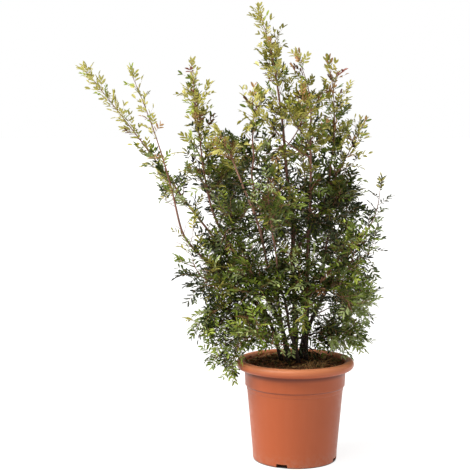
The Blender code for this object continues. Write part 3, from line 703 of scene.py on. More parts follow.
class Batch:
    """Triangles gathered for one joined piece."""

    def __init__(self):
        self.places, self.triangles, self.count = [], [], 0

    def add(self, places, triangles):
        self.places.append(places)
        self.triangles.append(triangles + self.count)
        self.count += len(places)

    def piece(self, name, finish, slot, replaced=(), smooth=True):
        places = np.concatenate(self.places).astype(np.float32)
        triangles = np.concatenate(self.triangles).astype(np.int32)
        mesh = bpy.data.meshes.new(name)
        mesh.vertices.add(len(places))
        mesh.vertices.foreach_set("co", places.ravel())
        mesh.loops.add(triangles.size)
        mesh.loops.foreach_set("vertex_index", triangles.ravel())
        mesh.polygons.add(len(triangles))
        mesh.polygons.foreach_set("loop_start", np.arange(0, triangles.size, 3, dtype=np.int32))
        mesh.polygons.foreach_set("use_smooth", np.full(len(triangles), smooth))
        mesh.update(calc_edges=True)
        return dress(name, mesh, finish, slot, replaced)


def put(name, data):
    """A new object in the scene."""
    thing = bpy.data.objects.new(name, data)
    bpy.context.scene.collection.objects.link(thing)
    return thing


def dress(name, mesh, finish, slot, replaced=()):
    """Makes the mesh a piece of the object, with its finish and the solids that it stands for."""
    thing = put(name, mesh)
    mesh.materials.clear()
    mesh.materials.append(finish)
    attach(thing, "root")
    if replaced:
        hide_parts(*replaced)
    return thing


def unit(way):
    return way / np.linalg.norm(way)


def distances(points):
    """How far along a line each of its points is."""
    return np.concatenate([[0], np.cumsum(np.linalg.norm(np.diff(points, axis=0), axis=1))])


def across(points):
    """Two unit directions across a line at each of its points, carried along it without twist."""
    ways = np.gradient(points, axis=0)
    ways /= np.linalg.norm(ways, axis=1)[:, None]
    sides = [unit(np.cross(ways[0], (0.0, 1.0, 0.0) if abs(ways[0][1]) < 0.9 else (1.0, 0.0, 0.0)))]
    for way in ways[1:]:
        sides.append(unit(sides[-1] - way * (sides[-1] @ way)))
    sides = np.array(sides)
    return sides, np.cross(ways, sides)


def tube(points, radii, sides):
    """A closed tube along the points. Its radii are one for each point, or one for each point and side."""
    first, second = across(points)
    angles = (np.arange(sides) * 2 * math.pi / sides)[None, :, None]
    radii = np.broadcast_to(np.reshape(radii, (len(points), -1)), (len(points), sides))
    round_way = np.cos(angles) * first[:, None] + np.sin(angles) * second[:, None]
    rings = points[:, None] + radii[:, :, None] * round_way
    places = np.concatenate([rings.reshape(-1, 3), points[:1], points[-1:]])
    k = np.arange(sides)
    after = (k + 1) % sides
    wall = []
    for i in range(len(points) - 1):
        low, high = i * sides, (i + 1) * sides
        wall.append(np.stack([low + k, low + after, high + after], 1))
        wall.append(np.stack([low + k, high + after, high + k], 1))
    foot, tip, last = len(points) * sides, len(points) * sides + 1, (len(points) - 1) * sides
    wall.append(np.stack([np.full(sides, foot), after, k], 1))
    wall.append(np.stack([np.full(sides, tip), last + k, last + after], 1))
    return places, np.concatenate(wall)


def through(places, steps):
    """Points along the smooth line that passes through three or more places."""
    places = np.array(places, float)
    chords = np.linalg.norm(np.diff(places, axis=0), axis=1)
    knots = np.concatenate([[0], np.cumsum(chords)])
    slopes = np.diff(places, axis=0) / chords[:, None]
    before, after = chords[:-1, None], chords[1:, None]
    middle = (slopes[:-1] * after + slopes[1:] * before) / (before + after)
    first, last = (3 * slopes[0] - middle[0]) / 2, (3 * slopes[-1] - middle[-1]) / 2
    tangents = np.vstack([first, middle, last])
    points = []
    for distance in np.linspace(0, knots[-1], steps + 1):
        k = min(int(np.searchsorted(knots, distance, "right")) - 1, len(chords) - 1)
        s = (distance - knots[k]) / chords[k]
        points.append(
            (1 + 2 * s) * (1 - s) ** 2 * places[k]
            + s * (1 - s) ** 2 * chords[k] * tangents[k]
            + s**2 * (3 - 2 * s) * places[k + 1]
            + s**2 * (s - 1) * chords[k] * tangents[k + 1]
        )
    return np.array(points)


def bent(start, way, bend, count):
    """The points of a line that leaves in one direction and bends in another."""
    t = np.linspace(0, 1, count)[:, None]
    return start + way * t + bend * t * t


def wandering(points, rng):
    """The points moved a little to each side, most in the middle of the limb and not at all at its ends."""
    t = np.linspace(0, 1, len(points))
    moved = points.copy()
    for axis in (0, 1):
        waves, phase = rng.uniform(*WAVES), rng.random()
        moved[:, axis] += WANDER * np.sin(2 * math.pi * (waves * t + phase)) * 4 * t * (1 - t)
    return moved


def place_at_height(points, height):
    """The place where a limb passes a height."""
    above = int(np.argmax(points[:, 2] > height))
    low, high = points[above - 1], points[above]
    return low + (high - low) * (height - low[2]) / (high[2] - low[2])


def limb_paths():
    """Each limb's points, close together. A stem first stands straight up from the soil."""
    paths = {}
    for index, limb in enumerate(LIMBS):
        rng = random.Random(SEED + index)
        if limb.parent is None:
            foot = np.array((*limb.foot, SOIL_CROWN_HEIGHT + GAP))
            places = [foot + (0, 0, COLLAR_RISE), *limb.bends, limb.tip]
        else:
            foot = place_at_height(paths[limb.parent], limb.foot)
            places = [foot, *limb.bends, limb.tip]
        run = sum(math.dist(a, b) for a, b in zip(places, places[1:]))
        bend = wandering(through(places, int(run / RING_SPACING)), rng)
        if limb.parent is None:
            rise = foot + COLLAR_SHARES * np.array((0, 0, COLLAR_RISE))
            bend = np.vstack([rise, bend])
        paths[limb.name] = bend
    return paths


def limb_radii(limb, points):
    """The limb's taper, with a flare where it leaves the soil or its parent."""
    t = np.linspace(0, 1, len(points))
    radii = limb.thick + (limb.thin - limb.thick) * t**TAPER_POWER
    run = distances(points)
    if limb.parent is None:
        return radii * (1 + FLARE * np.exp(-run / COLLAR_RISE))
    return radii * (1 + FORK_FLARE * np.exp(-run / (FORK_FLARE_REACH * limb.thick)))


def bark_radii(limb, points, knots, seed):
    """Radii with the bark's long ridges and cracks, and a swelling where each bough or shoot leaves."""
    out = np.empty((len(points), BARK_SIDES))
    for i, (radius, run) in enumerate(zip(limb_radii(limb, points), distances(points))):
        crack_depth = CRACK_DEPTH + CRACK_DEPTH_SHARE * radius
        for k in range(BARK_SIDES):
            angle = 2 * math.pi * k / BARK_SIDES
            x, y = math.cos(angle) * RIDGES_ROUND, math.sin(angle) * RIDGES_ROUND
            spot = Vector((x, y, run * RIDGES_ALONG + seed * 7.3))
            ridge = noise.fractal(spot, 0.8, 2.1, 3)
            spot = Vector((*spot.xy * CRACKS_OVER_RIDGES, run * CRACKS_ALONG + seed * 3.1))
            crack = noise.noise(spot)
            out[i, k] = radius * (1 + RIDGE_HEIGHT * ridge) - crack_depth * max(0.0, crack)
    for place, size in knots:
        near = np.exp(-((np.linalg.norm(points - place, axis=1) / (KNOT_REACH * size)) ** 2))
        out *= 1 + KNOT_SWELLING * near[:, None]
    return out


# The shoots, each the stem of one mass with the space that it may fill.
Shoot = namedtuple("Shoot", "name limb spine radius reach from_side")


def spine_from_tip(path, tip):
    """From a limb's tip, first the way the limb points and then bending to the shoot's own tip."""
    way = unit(path[-1] - path[-2])
    start = path[-1]
    length = np.linalg.norm(np.array(tip) - start)
    t = np.linspace(0, 1, SPINE_STEPS + 1)[:, None]
    return (1 - t) ** 2 * start + 2 * t * (1 - t) * (start + way * 0.5 * length) + t**2 * np.array(tip)


def spine_from_side(start, bearing, side):
    """From a limb's middle line outward, turning upward as it goes."""
    points = [start]
    for i in range(SHOOT_STEPS):
        share = (i + 0.5) / SHOOT_STEPS
        lean = math.radians(side.lean_first + (side.lean_last - side.lean_first) * share)
        way = (math.sin(lean) * math.cos(bearing), math.sin(lean) * math.sin(bearing), math.cos(lean))
        points.append(points[-1] + np.array(way) * side.length / SHOOT_STEPS)
    return through(points, SPINE_STEPS)


def side_feet(limb, path):
    """The places on a limb's middle line where its side shoots leave."""
    side = SIDE_SHOOTS.get(limb.name)
    count = side.count if side else 0
    shares = [i / max(1, count - 1) for i in range(count)]
    return [place_at_height(path, side.low + (side.high - side.low) * share) for share in shares]


def plan_shoots(paths):
    """The shoots at the limbs' tips and sides, with the names of their masses in the solids."""
    shoots = []
    for limb in LIMBS:
        last = TIP_SHOOTS[limb.name]
        spine = spine_from_tip(paths[limb.name], last.tip)
        shoots.append(Shoot(f"foliage_{limb.name}_tip", limb, spine, limb.thin, last.reach, False))
        for i, start in enumerate(side_feet(limb, paths[limb.name])):
            side = SIDE_SHOOTS[limb.name]
            spine = spine_from_side(start, math.radians(side.bearing) + GOLDEN_ANGLE * i, side)
            name = f"foliage_{limb.name}_side_{i + 1}"
            shoots.append(Shoot(name, limb, spine, SIDE_SHOOT_RADIUS, side.reach, True))
    return shoots


def shoot_radii(shoot, length):
    """The shoot's taper, with a flare where it leaves a limb's side."""
    count = len(shoot.spine)
    radii = np.linspace(shoot.radius, SHOOT_TIP_RADIUS, count)
    if shoot.from_side:
        radii *= 1 + FORK_FLARE * np.exp(-np.linspace(0, length, count) / SHOOT_FLARE_LENGTH)
    return radii


def along(points, share):
    """The place and the direction at a share of a line's steps."""
    at = min(share * (len(points) - 1), len(points) - 1 - 1e-9)
    step = int(at)
    way = points[step + 1] - points[step]
    return points[step] + way * (at - step), unit(way)


def habit_of(shoot):
    return HABITS.get(shoot.name.removeprefix("foliage_"), PLAIN_HABIT)


def reach_at(shoot, share):
    """How far foliage reaches to each side: a leaf's length at the foot and tip, and more between them."""
    least = END_REACH_IN_LEAVES * (MASS_LEAF_SHORTEST + MASS_LEAF_PER_REACH * shoot.reach)
    return max(least, shoot.reach * (END_REACH_SHARE + (1 - END_REACH_SHARE) * math.sin(math.pi * share)))


def outward(way, bearing, lean):
    """A direction that leaves a line at an angle, on the side that the bearing gives."""
    side = np.cross(way, (0.0, 0.0, 1.0))
    if np.linalg.norm(side) < 1e-3:
        side = np.array((1.0, 0.0, 0.0))
    side = unit(side)
    turned = math.cos(bearing) * side + math.sin(bearing) * np.cross(way, side)
    return math.cos(lean) * way + math.sin(lean) * turned


def leaning(way, bearing, leans, rng):
    """A direction that leaves a line at a random angle between two, in degrees."""
    return outward(way, bearing, math.radians(rng.uniform(*leans)))


def leaflet():
    """A leaflet a unit long and wide: an oval folded a little along its midrib, with a drooping tip."""
    places = [(0, 0, 0), (0.52, 0, -0.04), (1, 0, -0.14)]
    for sign in (1, -1):
        for x, half in ((0.17, 0.31), (0.48, 0.50), (0.82, 0.34)):
            places.append((x, sign * half, 0.36 * half - 0.12 * x * x))
    faces = [(0, 1, 3), (3, 1, 4), (4, 1, 5), (5, 1, 2)]
    faces += [(0, 6, 1), (6, 7, 1), (7, 8, 1), (8, 2, 1)]
    return np.array(places, float), np.array(faces)


def turn(axis, angle):
    return np.array(Matrix.Rotation(angle, 3, axis))


LEAFLET, LEAFLET_FACES = leaflet()


def leaf_variant(rng, kind):
    """A feathered leaf on a stalk a unit long: pairs of leaflets, none at its end."""
    pairs = rng.choice(kind.pairs)
    droop = rng.uniform(*kind.droops)
    size = rng.uniform(*kind.sizes)
    blades, faces = [], []
    for i in range(pairs):
        share = i / (pairs - 1)
        at = FIRST_PAIR + (1 - FIRST_PAIR) * share
        slope = math.atan(2 * droop * at)
        pair_size = size * (END_PAIR_SIZE + MIDDLE_PAIR_GAIN * math.sin(math.pi * (0.2 + 0.6 * share)))
        for sign in (-1, 1):
            if rng.random() < LOST_LEAFLETS:
                continue
            spread = rng.uniform(-SPLAY_SPREAD, SPLAY_SPREAD)
            way = math.radians(kind.splay - SPLAY_CHANGE * share + spread) * sign
            length = pair_size * rng.uniform(*LEAFLET_SIZES)
            shape = LEAFLET * (length, length * rng.uniform(*kind.widths), length * LEAFLET_FOLD)
            roll = turn("X", rng.uniform(-LEAFLET_ROLL, LEAFLET_ROLL) + PAIR_ROLL * sign)
            lift = turn("Y", rng.uniform(*LEAFLET_LIFTS) + slope)
            place = (at + rng.uniform(-PAIR_SHIFT, PAIR_SHIFT), 0, -droop * at * at)
            blades.append(shape @ roll.T @ turn("Z", way).T @ lift.T + place)
            faces.append(LEAFLET_FACES + len(LEAFLET) * (len(blades) - 1))
    t = np.linspace(0, 1, len(STALK_RADII))
    stalk, stalk_faces = tube(np.stack([t, 0 * t, -droop * t * t], 1), STALK_RADII, STALK_SIDES)
    return np.concatenate(blades), np.concatenate(faces), stalk, stalk_faces


def seen_at(place):
    """Where the camera sees a place against the upright plane through the trunk."""
    scale = CAMERA_PLACE[1] / (CAMERA_PLACE[1] - place[1])
    x = CAMERA_PLACE[0] + (place[0] - CAMERA_PLACE[0]) * scale
    return x, CAMERA_PLACE[2] + (place[2] - CAMERA_PLACE[2]) * scale


class Crown:
    """Grows the twigs and leaves of every mass by the source's rule, carried to finer twigs."""

    def __init__(self, shoots, paths):
        self.shoots = shoots
        shares = np.linspace(0, 1, SPACE_SAMPLES)
        self.spines = np.array([[along(s.spine, share)[0] for share in shares] for s in shoots])
        self.reaches = np.array([[reach_at(s, share) for share in shares] for s in shoots])
        rng = random.Random(SEED)
        self.variants = {}
        for kind in (MATURE, YOUNG):
            self.variants[kind] = [leaf_variant(rng, kind) for _ in range(LEAF_VARIANTS)]
        self.blades = {tint: Batch() for tint in TINTS}
        self.stalks, self.twigs, self.shoot_wood = Batch(), Batch(), Batch()
        self.holders = {tint: set() for tint in TINTS}
        self.slender = [shoot.reach < SLENDER_REACH for shoot in shoots]
        self.centre_line = paths["stem_tall"]
        self.shown = []
        for name, (low, high) in SHOWN_STEMS.items():
            path = [place for place in paths[name] if low < place[2] < high]
            self.shown.append((np.mean(path, axis=0)[1], np.array([seen_at(place) for place in path])))
        self.wood = KDTree(sum(len(path) for path in paths.values()))
        self.wood_radii = []
        for limb in LIMBS:
            path = paths[limb.name]
            for place, radius in zip(path, limb_radii(limb, path)):
                self.wood.insert(place, len(self.wood_radii))
                self.wood_radii.append(radius)
        self.wood.balance()

    def near(self, owner, place):
        """How far a place is from a shoot's spine as a share of its reach. Without an owner, any shoot's."""
        which = slice(None) if owner is None else owner
        return (np.linalg.norm(self.spines[which] - place, axis=-1) / self.reaches[which]).min()

    def is_slender(self, owner):
        """Whether a shoot is one of the slender spires."""
        return owner is not None and self.slender[owner]

    def open_sky(self, place, rng):
        """Whether a leaf here would hide the soil's edge or one of the gaps from the camera."""
        x, z = seen_at(place)
        if SOIL_VIEW[0] < x < SOIL_VIEW[1] and z < SOIL_VIEW_HEIGHT:
            return True
        return rng.random() < GAP_OPENNESS and any(math.hypot(x - g.x, z - g.z) < g.radius for g in GAPS)

    def hides_stem(self, place):
        """Whether a leaf here would hide a stem that shows."""
        seen = np.array(seen_at(place))
        return any(place[1] < y and np.hypot(*(line - seen).T).min() < SHOWN_SIDE for y, line in self.shown)

    def depth(self, place):
        """The distance from the middle of the crown, which the tall stem marks."""
        centre = place_at_height(self.centre_line, min(max(place[2], CENTRE_FOOT), CENTRE_TOP))
        return math.hypot(place[0] - centre[0], place[1] - centre[1])

    def bared(self, place, rng):
        """Whether a leaf here has fallen for want of light."""
        low, high = SHADE_HEIGHTS
        return low < place[2] < high and self.depth(place) < SHADE_REACH and rng.random() < SHADE_BARE

    def clear(self, place):
        """Whether a place is in the plant's box, and off the pot, the soil and every limb."""
        low, high = np.array(CAD_BOX)
        if (place < low - BOX_MARGIN).any() or (place > high + BOX_MARGIN).any():
            return False
        out = math.hypot(place[0], place[1])
        if place[2] < POT_HEIGHT + POT_CLEARANCE and out < RIM_RADIUS + POT_CLEARANCE:
            return False
        _, index, distance = self.wood.find(place)
        return distance > self.wood_radii[index] + LIMB_CLEARANCE

    def region(self, owner, share, place, depth, height):
        """The part of the crown that a spray grows in."""
        x, y, z = place
        if height > YOUNG_FROM:
            if owner is None or self.shoots[owner].from_side or share <= TIP_FROM:
                return "young"
            return "red_tip" if self.shoots[owner].limb.name in RED_TIPS else "tip"
        if y < FRONT_FROM and z < FRONT_TOP:
            return "low_front"
        if depth < (INSIDE_DEPTH if z > LOW_INSIDE_TOP else LOW_INSIDE_DEPTH):
            return "inside"
        if x > RIGHT_FROM and z < RIGHT_TOP:
            return "low_right"
        return "low_left" if z < LEFT_TOP else "outside"

    def deal(self, owner, share, place, rng):
        """The tint of a spray from where it grows, with painted shade inside the crown and painted light
        outside.
        """
        depth = self.depth(place) + rng.uniform(-DEPTH_BLUR, DEPTH_BLUR)
        height = place[2] + rng.uniform(-HEIGHT_BLUR, HEIGHT_BLUR)
        if self.is_slender(owner):
            height += SLENDER_LIFT
        names, shares = zip(*DEALS[self.region(owner, share, place, depth, height)].items())
        return rng.choices(names, shares)[0]

    def spacing(self, least, height, rng, owner=None):
        """The distance to the next leaf or twig: wider in the upper crown, but not on its slender spires."""
        spread = rng.uniform(*SPACING_SPREAD)
        if self.is_slender(owner):
            return least * spread
        open_share = min(max((height - OPEN_FROM) / (OPEN_TO - OPEN_FROM), 0), 1)
        return least * spread * (1 + OPENNESS * open_share)

    def leaf(self, owner, share, root, forward, rng, tint=None):
        """One feathered leaf, left out where it would leave its mass, touch something or hide an opening."""
        rng = random.Random(rng.random())
        kind = YOUNG if root[2] > YOUNG_HEIGHT + rng.uniform(-YOUNG_BLUR, YOUNG_BLUR) else MATURE
        length = rng.uniform(*kind.stalks)
        tip = root + forward * length * kind.reach
        middle = root + forward * length * LEAF_MIDDLE
        if self.near(owner, tip) > 1 or not self.clear(tip) or not self.clear(middle):
            return
        if self.open_sky(middle, rng) or self.bared(root, rng):
            return
        if self.hides_stem(middle) or self.hides_stem(tip):
            return
        up = np.array((rng.uniform(-LEAF_TILT, LEAF_TILT), rng.uniform(-LEAF_TILT, LEAF_TILT), 1.0))
        side = unit(np.cross(up, forward))
        axes = np.stack([forward, side, np.cross(forward, side)]) * length
        blades, faces, stalk, stalk_faces = rng.choice(self.variants[kind])
        if tint is None or rng.random() < OWN_TINT:
            tint = self.deal(owner, share, root, rng)
        self.blades[tint].add(blades @ axes + root, faces)
        self.stalks.add(stalk @ axes + root, stalk_faces)
        if owner is not None:
            self.holders[tint].add(owner)

    def twig(self, owner, share, root, way, length, rng, forked):
        """A bending twig with leaves a golden angle apart and at its tip. A forked one has finer twigs."""
        rng = random.Random(rng.random())
        lift = np.array((0, 0, math.copysign(TWIG_LIFT, way[2] - LIFTED_FROM)))
        for part in TWIG_TRIES:
            tip = root + way * length * part + lift * length * part
            if self.near(owner, tip) < 1 and self.clear(tip):
                length *= part
                break
        else:
            return
        points = bent(root, way * length, lift * length, TWIG_POINTS)
        if any(self.open_sky(point, rng) for point in points[2:]):
            return
        thick = TWIG_RADIUS * (1.0 if forked else FINER_TWIG_SHARE)
        self.twigs.add(*tube(points, np.linspace(thick, TWIG_TIP_RADIUS, TWIG_POINTS), TWIG_SIDES))
        bearing = rng.uniform(0, FULL_TURN)
        tint = self.deal(owner, share, tip, rng)
        count = max(2, round(length / self.spacing(NODE_SPACING, root[2], rng, owner)))
        for i in range(1, count + 1):
            place, ahead = along(points, (i - 0.3) / count)
            bearing += GOLDEN_ANGLE
            self.leaf(owner, share, place, leaning(ahead, bearing, LEAF_LEANS, rng), rng, tint)
            if forked and i % 2 == 0 and length * (1 - i / count) > SHORTEST_REST:
                side = leaning(ahead, bearing + math.pi, TWIG_LEANS, rng)
                run = rng.uniform(*FORK_SHARES) * length * (FORK_FOOT_SHARE - FORK_SHORTENING * i / count)
                self.twig(owner, share, place, side, run, rng, False)
        ahead = unit(points[-1] - points[-2])
        for _ in range(TWIG_TIP_LEAVES):
            lean = math.radians(rng.uniform(*TWIG_TIP_LEANS))
            self.leaf(owner, share, points[-1], outward(ahead, rng.uniform(*BEARINGS), lean), rng, tint)

    def stations(self, owner, length, start, stop, spacing, rng):
        """Places down a shoot from start to stop, each with its share of the length and the way ahead."""
        shoot = self.shoots[owner]
        at = start
        while at > stop:
            share = at / length
            place, way = along(shoot.spine, share)
            yield share, place, way
            at -= self.spacing(spacing, place[2], rng, owner) / habit_of(shoot).fullness

    def grow(self, owner):
        """One mass: its shoot's stem, the leaves at its tip, and then leaves and twigs down along it."""
        shoot = self.shoots[owner]
        rng = random.Random(SEED * 100 + owner)
        length = np.linalg.norm(np.diff(shoot.spine, axis=0), axis=1).sum()
        self.shoot_wood.add(*tube(shoot.spine, shoot_radii(shoot, length), SHOOT_SIDES))
        bearing = rng.uniform(0, FULL_TURN)
        place, way = along(shoot.spine, 1)
        for _ in range(TIP_LEAVES):
            self.leaf(owner, 1, place, leaning(way, rng.uniform(*BEARINGS), TIP_LEANS, rng), rng)
        start, stop = length - FIRST_LEAF, LEAVES_FROM * length
        for share, place, way in self.stations(owner, length, start, stop, NODE_SPACING, rng):
            bearing += GOLDEN_ANGLE
            self.leaf(owner, share, place, leaning(way, bearing, LEAF_LEANS, rng), rng)
        start, stop = length * habit_of(shoot).twigs_to - FIRST_TWIG, TWIGS_FROM * length
        for share, place, way in self.stations(owner, length, start, stop, TWIG_SPACING, rng):
            bearing += GOLDEN_ANGLE
            room = reach_at(shoot, share) - LEAF_ALLOWANCE
            if room > SHORTEST_TWIG:
                lean = math.radians(rng.uniform(*TWIG_LEANS))
                run = room / math.sin(lean) * rng.uniform(*TWIG_ROOM_SHARES)
                forked = run > SHORTEST_FORKED_TWIG
                self.twig(owner, share, place, outward(way, bearing, lean), run, rng, forked)

    def clothe(self, limb, path, seed):
        """Leaves on a limb's young wood, and twigs on a leafy limb, where it runs through the masses."""
        rng = random.Random(SEED * 1000 + seed)
        run = distances(path)
        radii = limb_radii(limb, path)
        low, high = LEAFY_LIMBS.get(limb.name, (math.inf, math.inf))
        at, bearing = 0.0, rng.uniform(0, FULL_TURN)
        while at < run[-1]:
            share = at / run[-1]
            place, way = along(path, share)
            radius = np.interp(at, run, radii)
            leafy = low < place[2] < high
            bearing += GOLDEN_ANGLE
            if leafy:
                ahead = leaning(way, bearing, TWIG_LEANS, rng)
                self.twig(None, share, place, ahead, rng.uniform(*LIMB_TWIG_LENGTHS), rng, False)
            elif radius < LIMB_LEAF_RADIUS:
                ahead = leaning(way, bearing, LEAF_LEANS, rng)
                self.leaf(None, share, place + ahead * radius, ahead, rng)
            at += self.spacing(LIMB_TWIG_SPACING if leafy else LIMB_LEAF_SPACING, place[2], rng)


def arc(out, height, radius, angles, steps):
    """Points of a round corner about a centre, from one angle to another."""
    first, last = angles
    points = []
    for i in range(steps + 1):
        angle = math.radians(first + (last - first) * i / steps)
        points.append((out + radius * math.cos(angle), height + radius * math.sin(angle)))
    return points


def pot_profile():
    """The pot's outline, from the middle of its floor over the rim to the middle of its underside."""
    inside = [
        (0, FLOOR),
        (BASE_RADIUS - WALL - 0.004, FLOOR),
        (BASE_RADIUS - WALL, FLOOR + 0.004),
        (SHOULDER_RADIUS - WALL, SHOULDER_HEIGHT),
        (COLLAR_FOOT_RADIUS - WALL, COLLAR_FOOT_HEIGHT),
        (COLLAR_TOP_RADIUS - WALL, POT_HEIGHT - 1.6 * RIM_ROLL),
    ]
    roll = arc(RIM_RADIUS - RIM_ROLL, POT_HEIGHT - RIM_ROLL, RIM_ROLL, RIM_ANGLES, RIM_STEPS)
    wall_at = np.interp(BAND_FOOT_HEIGHT, (BASE_ROUND, SHOULDER_HEIGHT), (BASE_RADIUS, SHOULDER_RADIUS))
    outside = [
        (COLLAR_TOP_RADIUS + 0.0022, POT_HEIGHT - 1.90 * RIM_ROLL),
        (COLLAR_TOP_RADIUS + 0.0004, POT_HEIGHT - 1.97 * RIM_ROLL),
        (COLLAR_TOP_RADIUS - 0.0001, POT_HEIGHT - 2.15 * RIM_ROLL),
        (COLLAR_FOOT_RADIUS + 0.0002, COLLAR_FOOT_HEIGHT + 0.0060),
        (COLLAR_FOOT_RADIUS + 0.0001, COLLAR_FOOT_HEIGHT + 0.0012),
        (COLLAR_FOOT_RADIUS - 0.0006, COLLAR_FOOT_HEIGHT),
        (SHOULDER_RADIUS + 0.0008, SHOULDER_HEIGHT + 0.0010),
        (SHOULDER_RADIUS, SHOULDER_HEIGHT),
        (wall_at + 0.0002, BAND_FOOT_HEIGHT + 0.0010),
        (wall_at - 0.0002, BAND_FOOT_HEIGHT),
        (wall_at - BAND_STEP, BAND_FOOT_HEIGHT - 0.0012),
        (BASE_RADIUS + 0.0006, 0.030),
    ]
    foot = arc(BASE_RADIUS - BASE_ROUND, BASE_ROUND, BASE_ROUND, (0, -90), BASE_STEPS)
    return inside + roll + outside + foot + [(0, 0)]


def drain_cutter(index):
    """A block with the shape of a drain slot, through the foot of the wall."""
    half = DRAIN_WIDTH / 2
    outline = [
        (-half, -0.01),
        (half, -0.01),
        (half * 0.95, DRAIN_HEIGHT - 0.003),
        (half * 0.86, DRAIN_HEIGHT),
        (-half * 0.86, DRAIN_HEIGHT),
        (-half * 0.95, DRAIN_HEIGHT - 0.003),
    ]
    places = [(x, y, z) for x in (-DRAIN_DEPTH, DRAIN_DEPTH) for y, z in outline]
    faces = [tuple(range(5, -1, -1)), tuple(range(6, 12))]
    faces += [(k, (k + 1) % 6, (k + 1) % 6 + 6, k + 6) for k in range(6)]
    shape = bpy.data.meshes.new(f"drain_{index}")
    shape.from_pydata(places, [], faces)
    cutter = put(f"drain_{index}", shape)
    bearing = math.radians(DRAIN_BEARING + 360 * index / DRAIN_COUNT)
    cutter.matrix_world = Matrix.Rotation(bearing, 4, "Z") @ Matrix.Translation((BASE_RADIUS, 0, 0))
    return cutter


def make_pot(finish):
    """The pot's turned shell with its rolled rim, collar, band and drain slots."""
    profile = pot_profile()
    mesh = bpy.data.meshes.new("pot_profile")
    mesh.from_pydata([(r, 0, z) for r, z in profile], [(i, i + 1) for i in range(len(profile) - 1)], [])
    thing = put("pot_profile", mesh)
    screw = thing.modifiers.new("turn", "SCREW")
    screw.steps = screw.render_steps = POT_SEGMENTS
    screw.use_merge_vertices = True
    screw.merge_threshold = 0.00005
    cutters = [drain_cutter(index) for index in range(DRAIN_COUNT)]
    for cutter in cutters:
        slot = thing.modifiers.new(cutter.name, "BOOLEAN")
        slot.object = cutter
        slot.operation = "DIFFERENCE"
    graph = bpy.context.evaluated_depsgraph_get()
    made = bpy.data.meshes.new_from_object(thing.evaluated_get(graph))
    for old in (thing, *cutters):
        bpy.data.objects.remove(old)
    made.name = "pot_shell"
    made.shade_smooth()
    made.set_sharp_from_angle(angle=SHARPEST_SMOOTH)
    dress("pot_shell", made, finish, "pot_plastic", ["pot"])


def soil_height(x, y):
    """The height of the soil's crumbly surface."""
    out = math.hypot(x, y)
    base = np.interp(out, (SOIL_CROWN_RADIUS, SOIL_RADIUS), (SOIL_CROWN_HEIGHT, SOIL_EDGE_HEIGHT))
    rough = noise.fractal(Vector((x * SOIL_LUMPS, y * SOIL_LUMPS, 2.7)), 0.7, 2.0, 5)
    return base + SOIL_ROUGHNESS * rough


def on_soil(out, bearing):
    """The place on the soil at a distance from the pot's axis, on the side that the bearing gives."""
    x, y = out * math.cos(bearing), out * math.sin(bearing)
    return np.array((x, y, soil_height(x, y)))


def make_soil(finish):
    """The soil's surface in rings, closed by a flat foot out of sight inside the pot."""
    rings, sides = SOIL_RINGS, SOIL_SIDES
    bearings = [2 * math.pi * k / sides for k in range(sides)]
    places = [on_soil(0, 0)]
    for i in range(1, rings + 1):
        places += [on_soil(SOIL_RADIUS * i / rings, bearing) for bearing in bearings]
    for bearing in bearings:
        x, y = SOIL_FOOT_RADIUS * math.cos(bearing), SOIL_FOOT_RADIUS * math.sin(bearing)
        places.append((x, y, SOIL_FOOT_HEIGHT))
    places.append((0, 0, SOIL_FOOT_HEIGHT))
    k = np.arange(sides)
    after = (k + 1) % sides
    faces = [np.stack([np.zeros(sides, int), 1 + k, 1 + after], 1)]
    for i in range(rings):
        low, high = 1 + i * sides, 1 + (i + 1) * sides
        faces.append(np.stack([low + k, high + k, high + after], 1))
        faces.append(np.stack([low + k, high + after, low + after], 1))
    last = 1 + rings * sides
    faces.append(np.stack([last + k, np.full(sides, len(places) - 1), last + after], 1))
    bed = Batch()
    bed.add(np.array(places), np.concatenate(faces))
    bed.piece("soil_bed", finish, "potting_soil", ["soil"])


def lump(rng):
    """A small uneven crumb: a solid of twenty faces about a unit in radius, with its corners moved."""
    t = (1 + math.sqrt(5)) / 2
    places = [(-1, t, 0), (1, t, 0), (-1, -t, 0), (1, -t, 0), (0, -1, t), (0, 1, t), (0, -1, -t), (0, 1, -t)]
    places += [(t, 0, -1), (t, 0, 1), (-t, 0, -1), (-t, 0, 1)]
    faces = [(0, 11, 5), (0, 5, 1), (0, 1, 7), (0, 7, 10), (0, 10, 11), (1, 5, 9), (5, 11, 4), (11, 10, 2)]
    faces += [(10, 7, 6), (7, 1, 8), (3, 9, 4), (3, 4, 2), (3, 2, 6), (3, 6, 8), (3, 8, 9), (4, 9, 5)]
    faces += [(2, 4, 11), (6, 2, 10), (8, 6, 7), (9, 8, 1)]
    places = np.array(places) / 1.9 * np.array([[rng.uniform(0.75, 1.25)] for _ in places])
    return places * [rng.uniform(*sizes) for sizes in LUMP_SIZES], np.array(faces)


def scatter(rng, reach):
    """A place on the soil."""
    out = reach * math.sqrt(rng.random())
    return on_soil(out, rng.uniform(0, FULL_TURN))


def fallen_leaf(rng):
    """The places of a leaflet that lies on the soil."""
    turned = turn("Z", rng.uniform(*BEARINGS))
    turned = turned @ turn("X", rng.uniform(-FALLEN_ROLL, FALLEN_ROLL))
    turned = turned @ turn("Y", rng.uniform(-FALLEN_SLOPE, FALLEN_SLOPE))
    length = rng.uniform(*FALLEN_LENGTHS)
    shape = LEAFLET * (length, length * rng.uniform(*FALLEN_WIDTHS), length * rng.uniform(*FALLEN_CURLS))
    return shape @ turned.T + scatter(rng, FALLEN_REACH) + (0, 0, rng.uniform(*FALLEN_RISES))


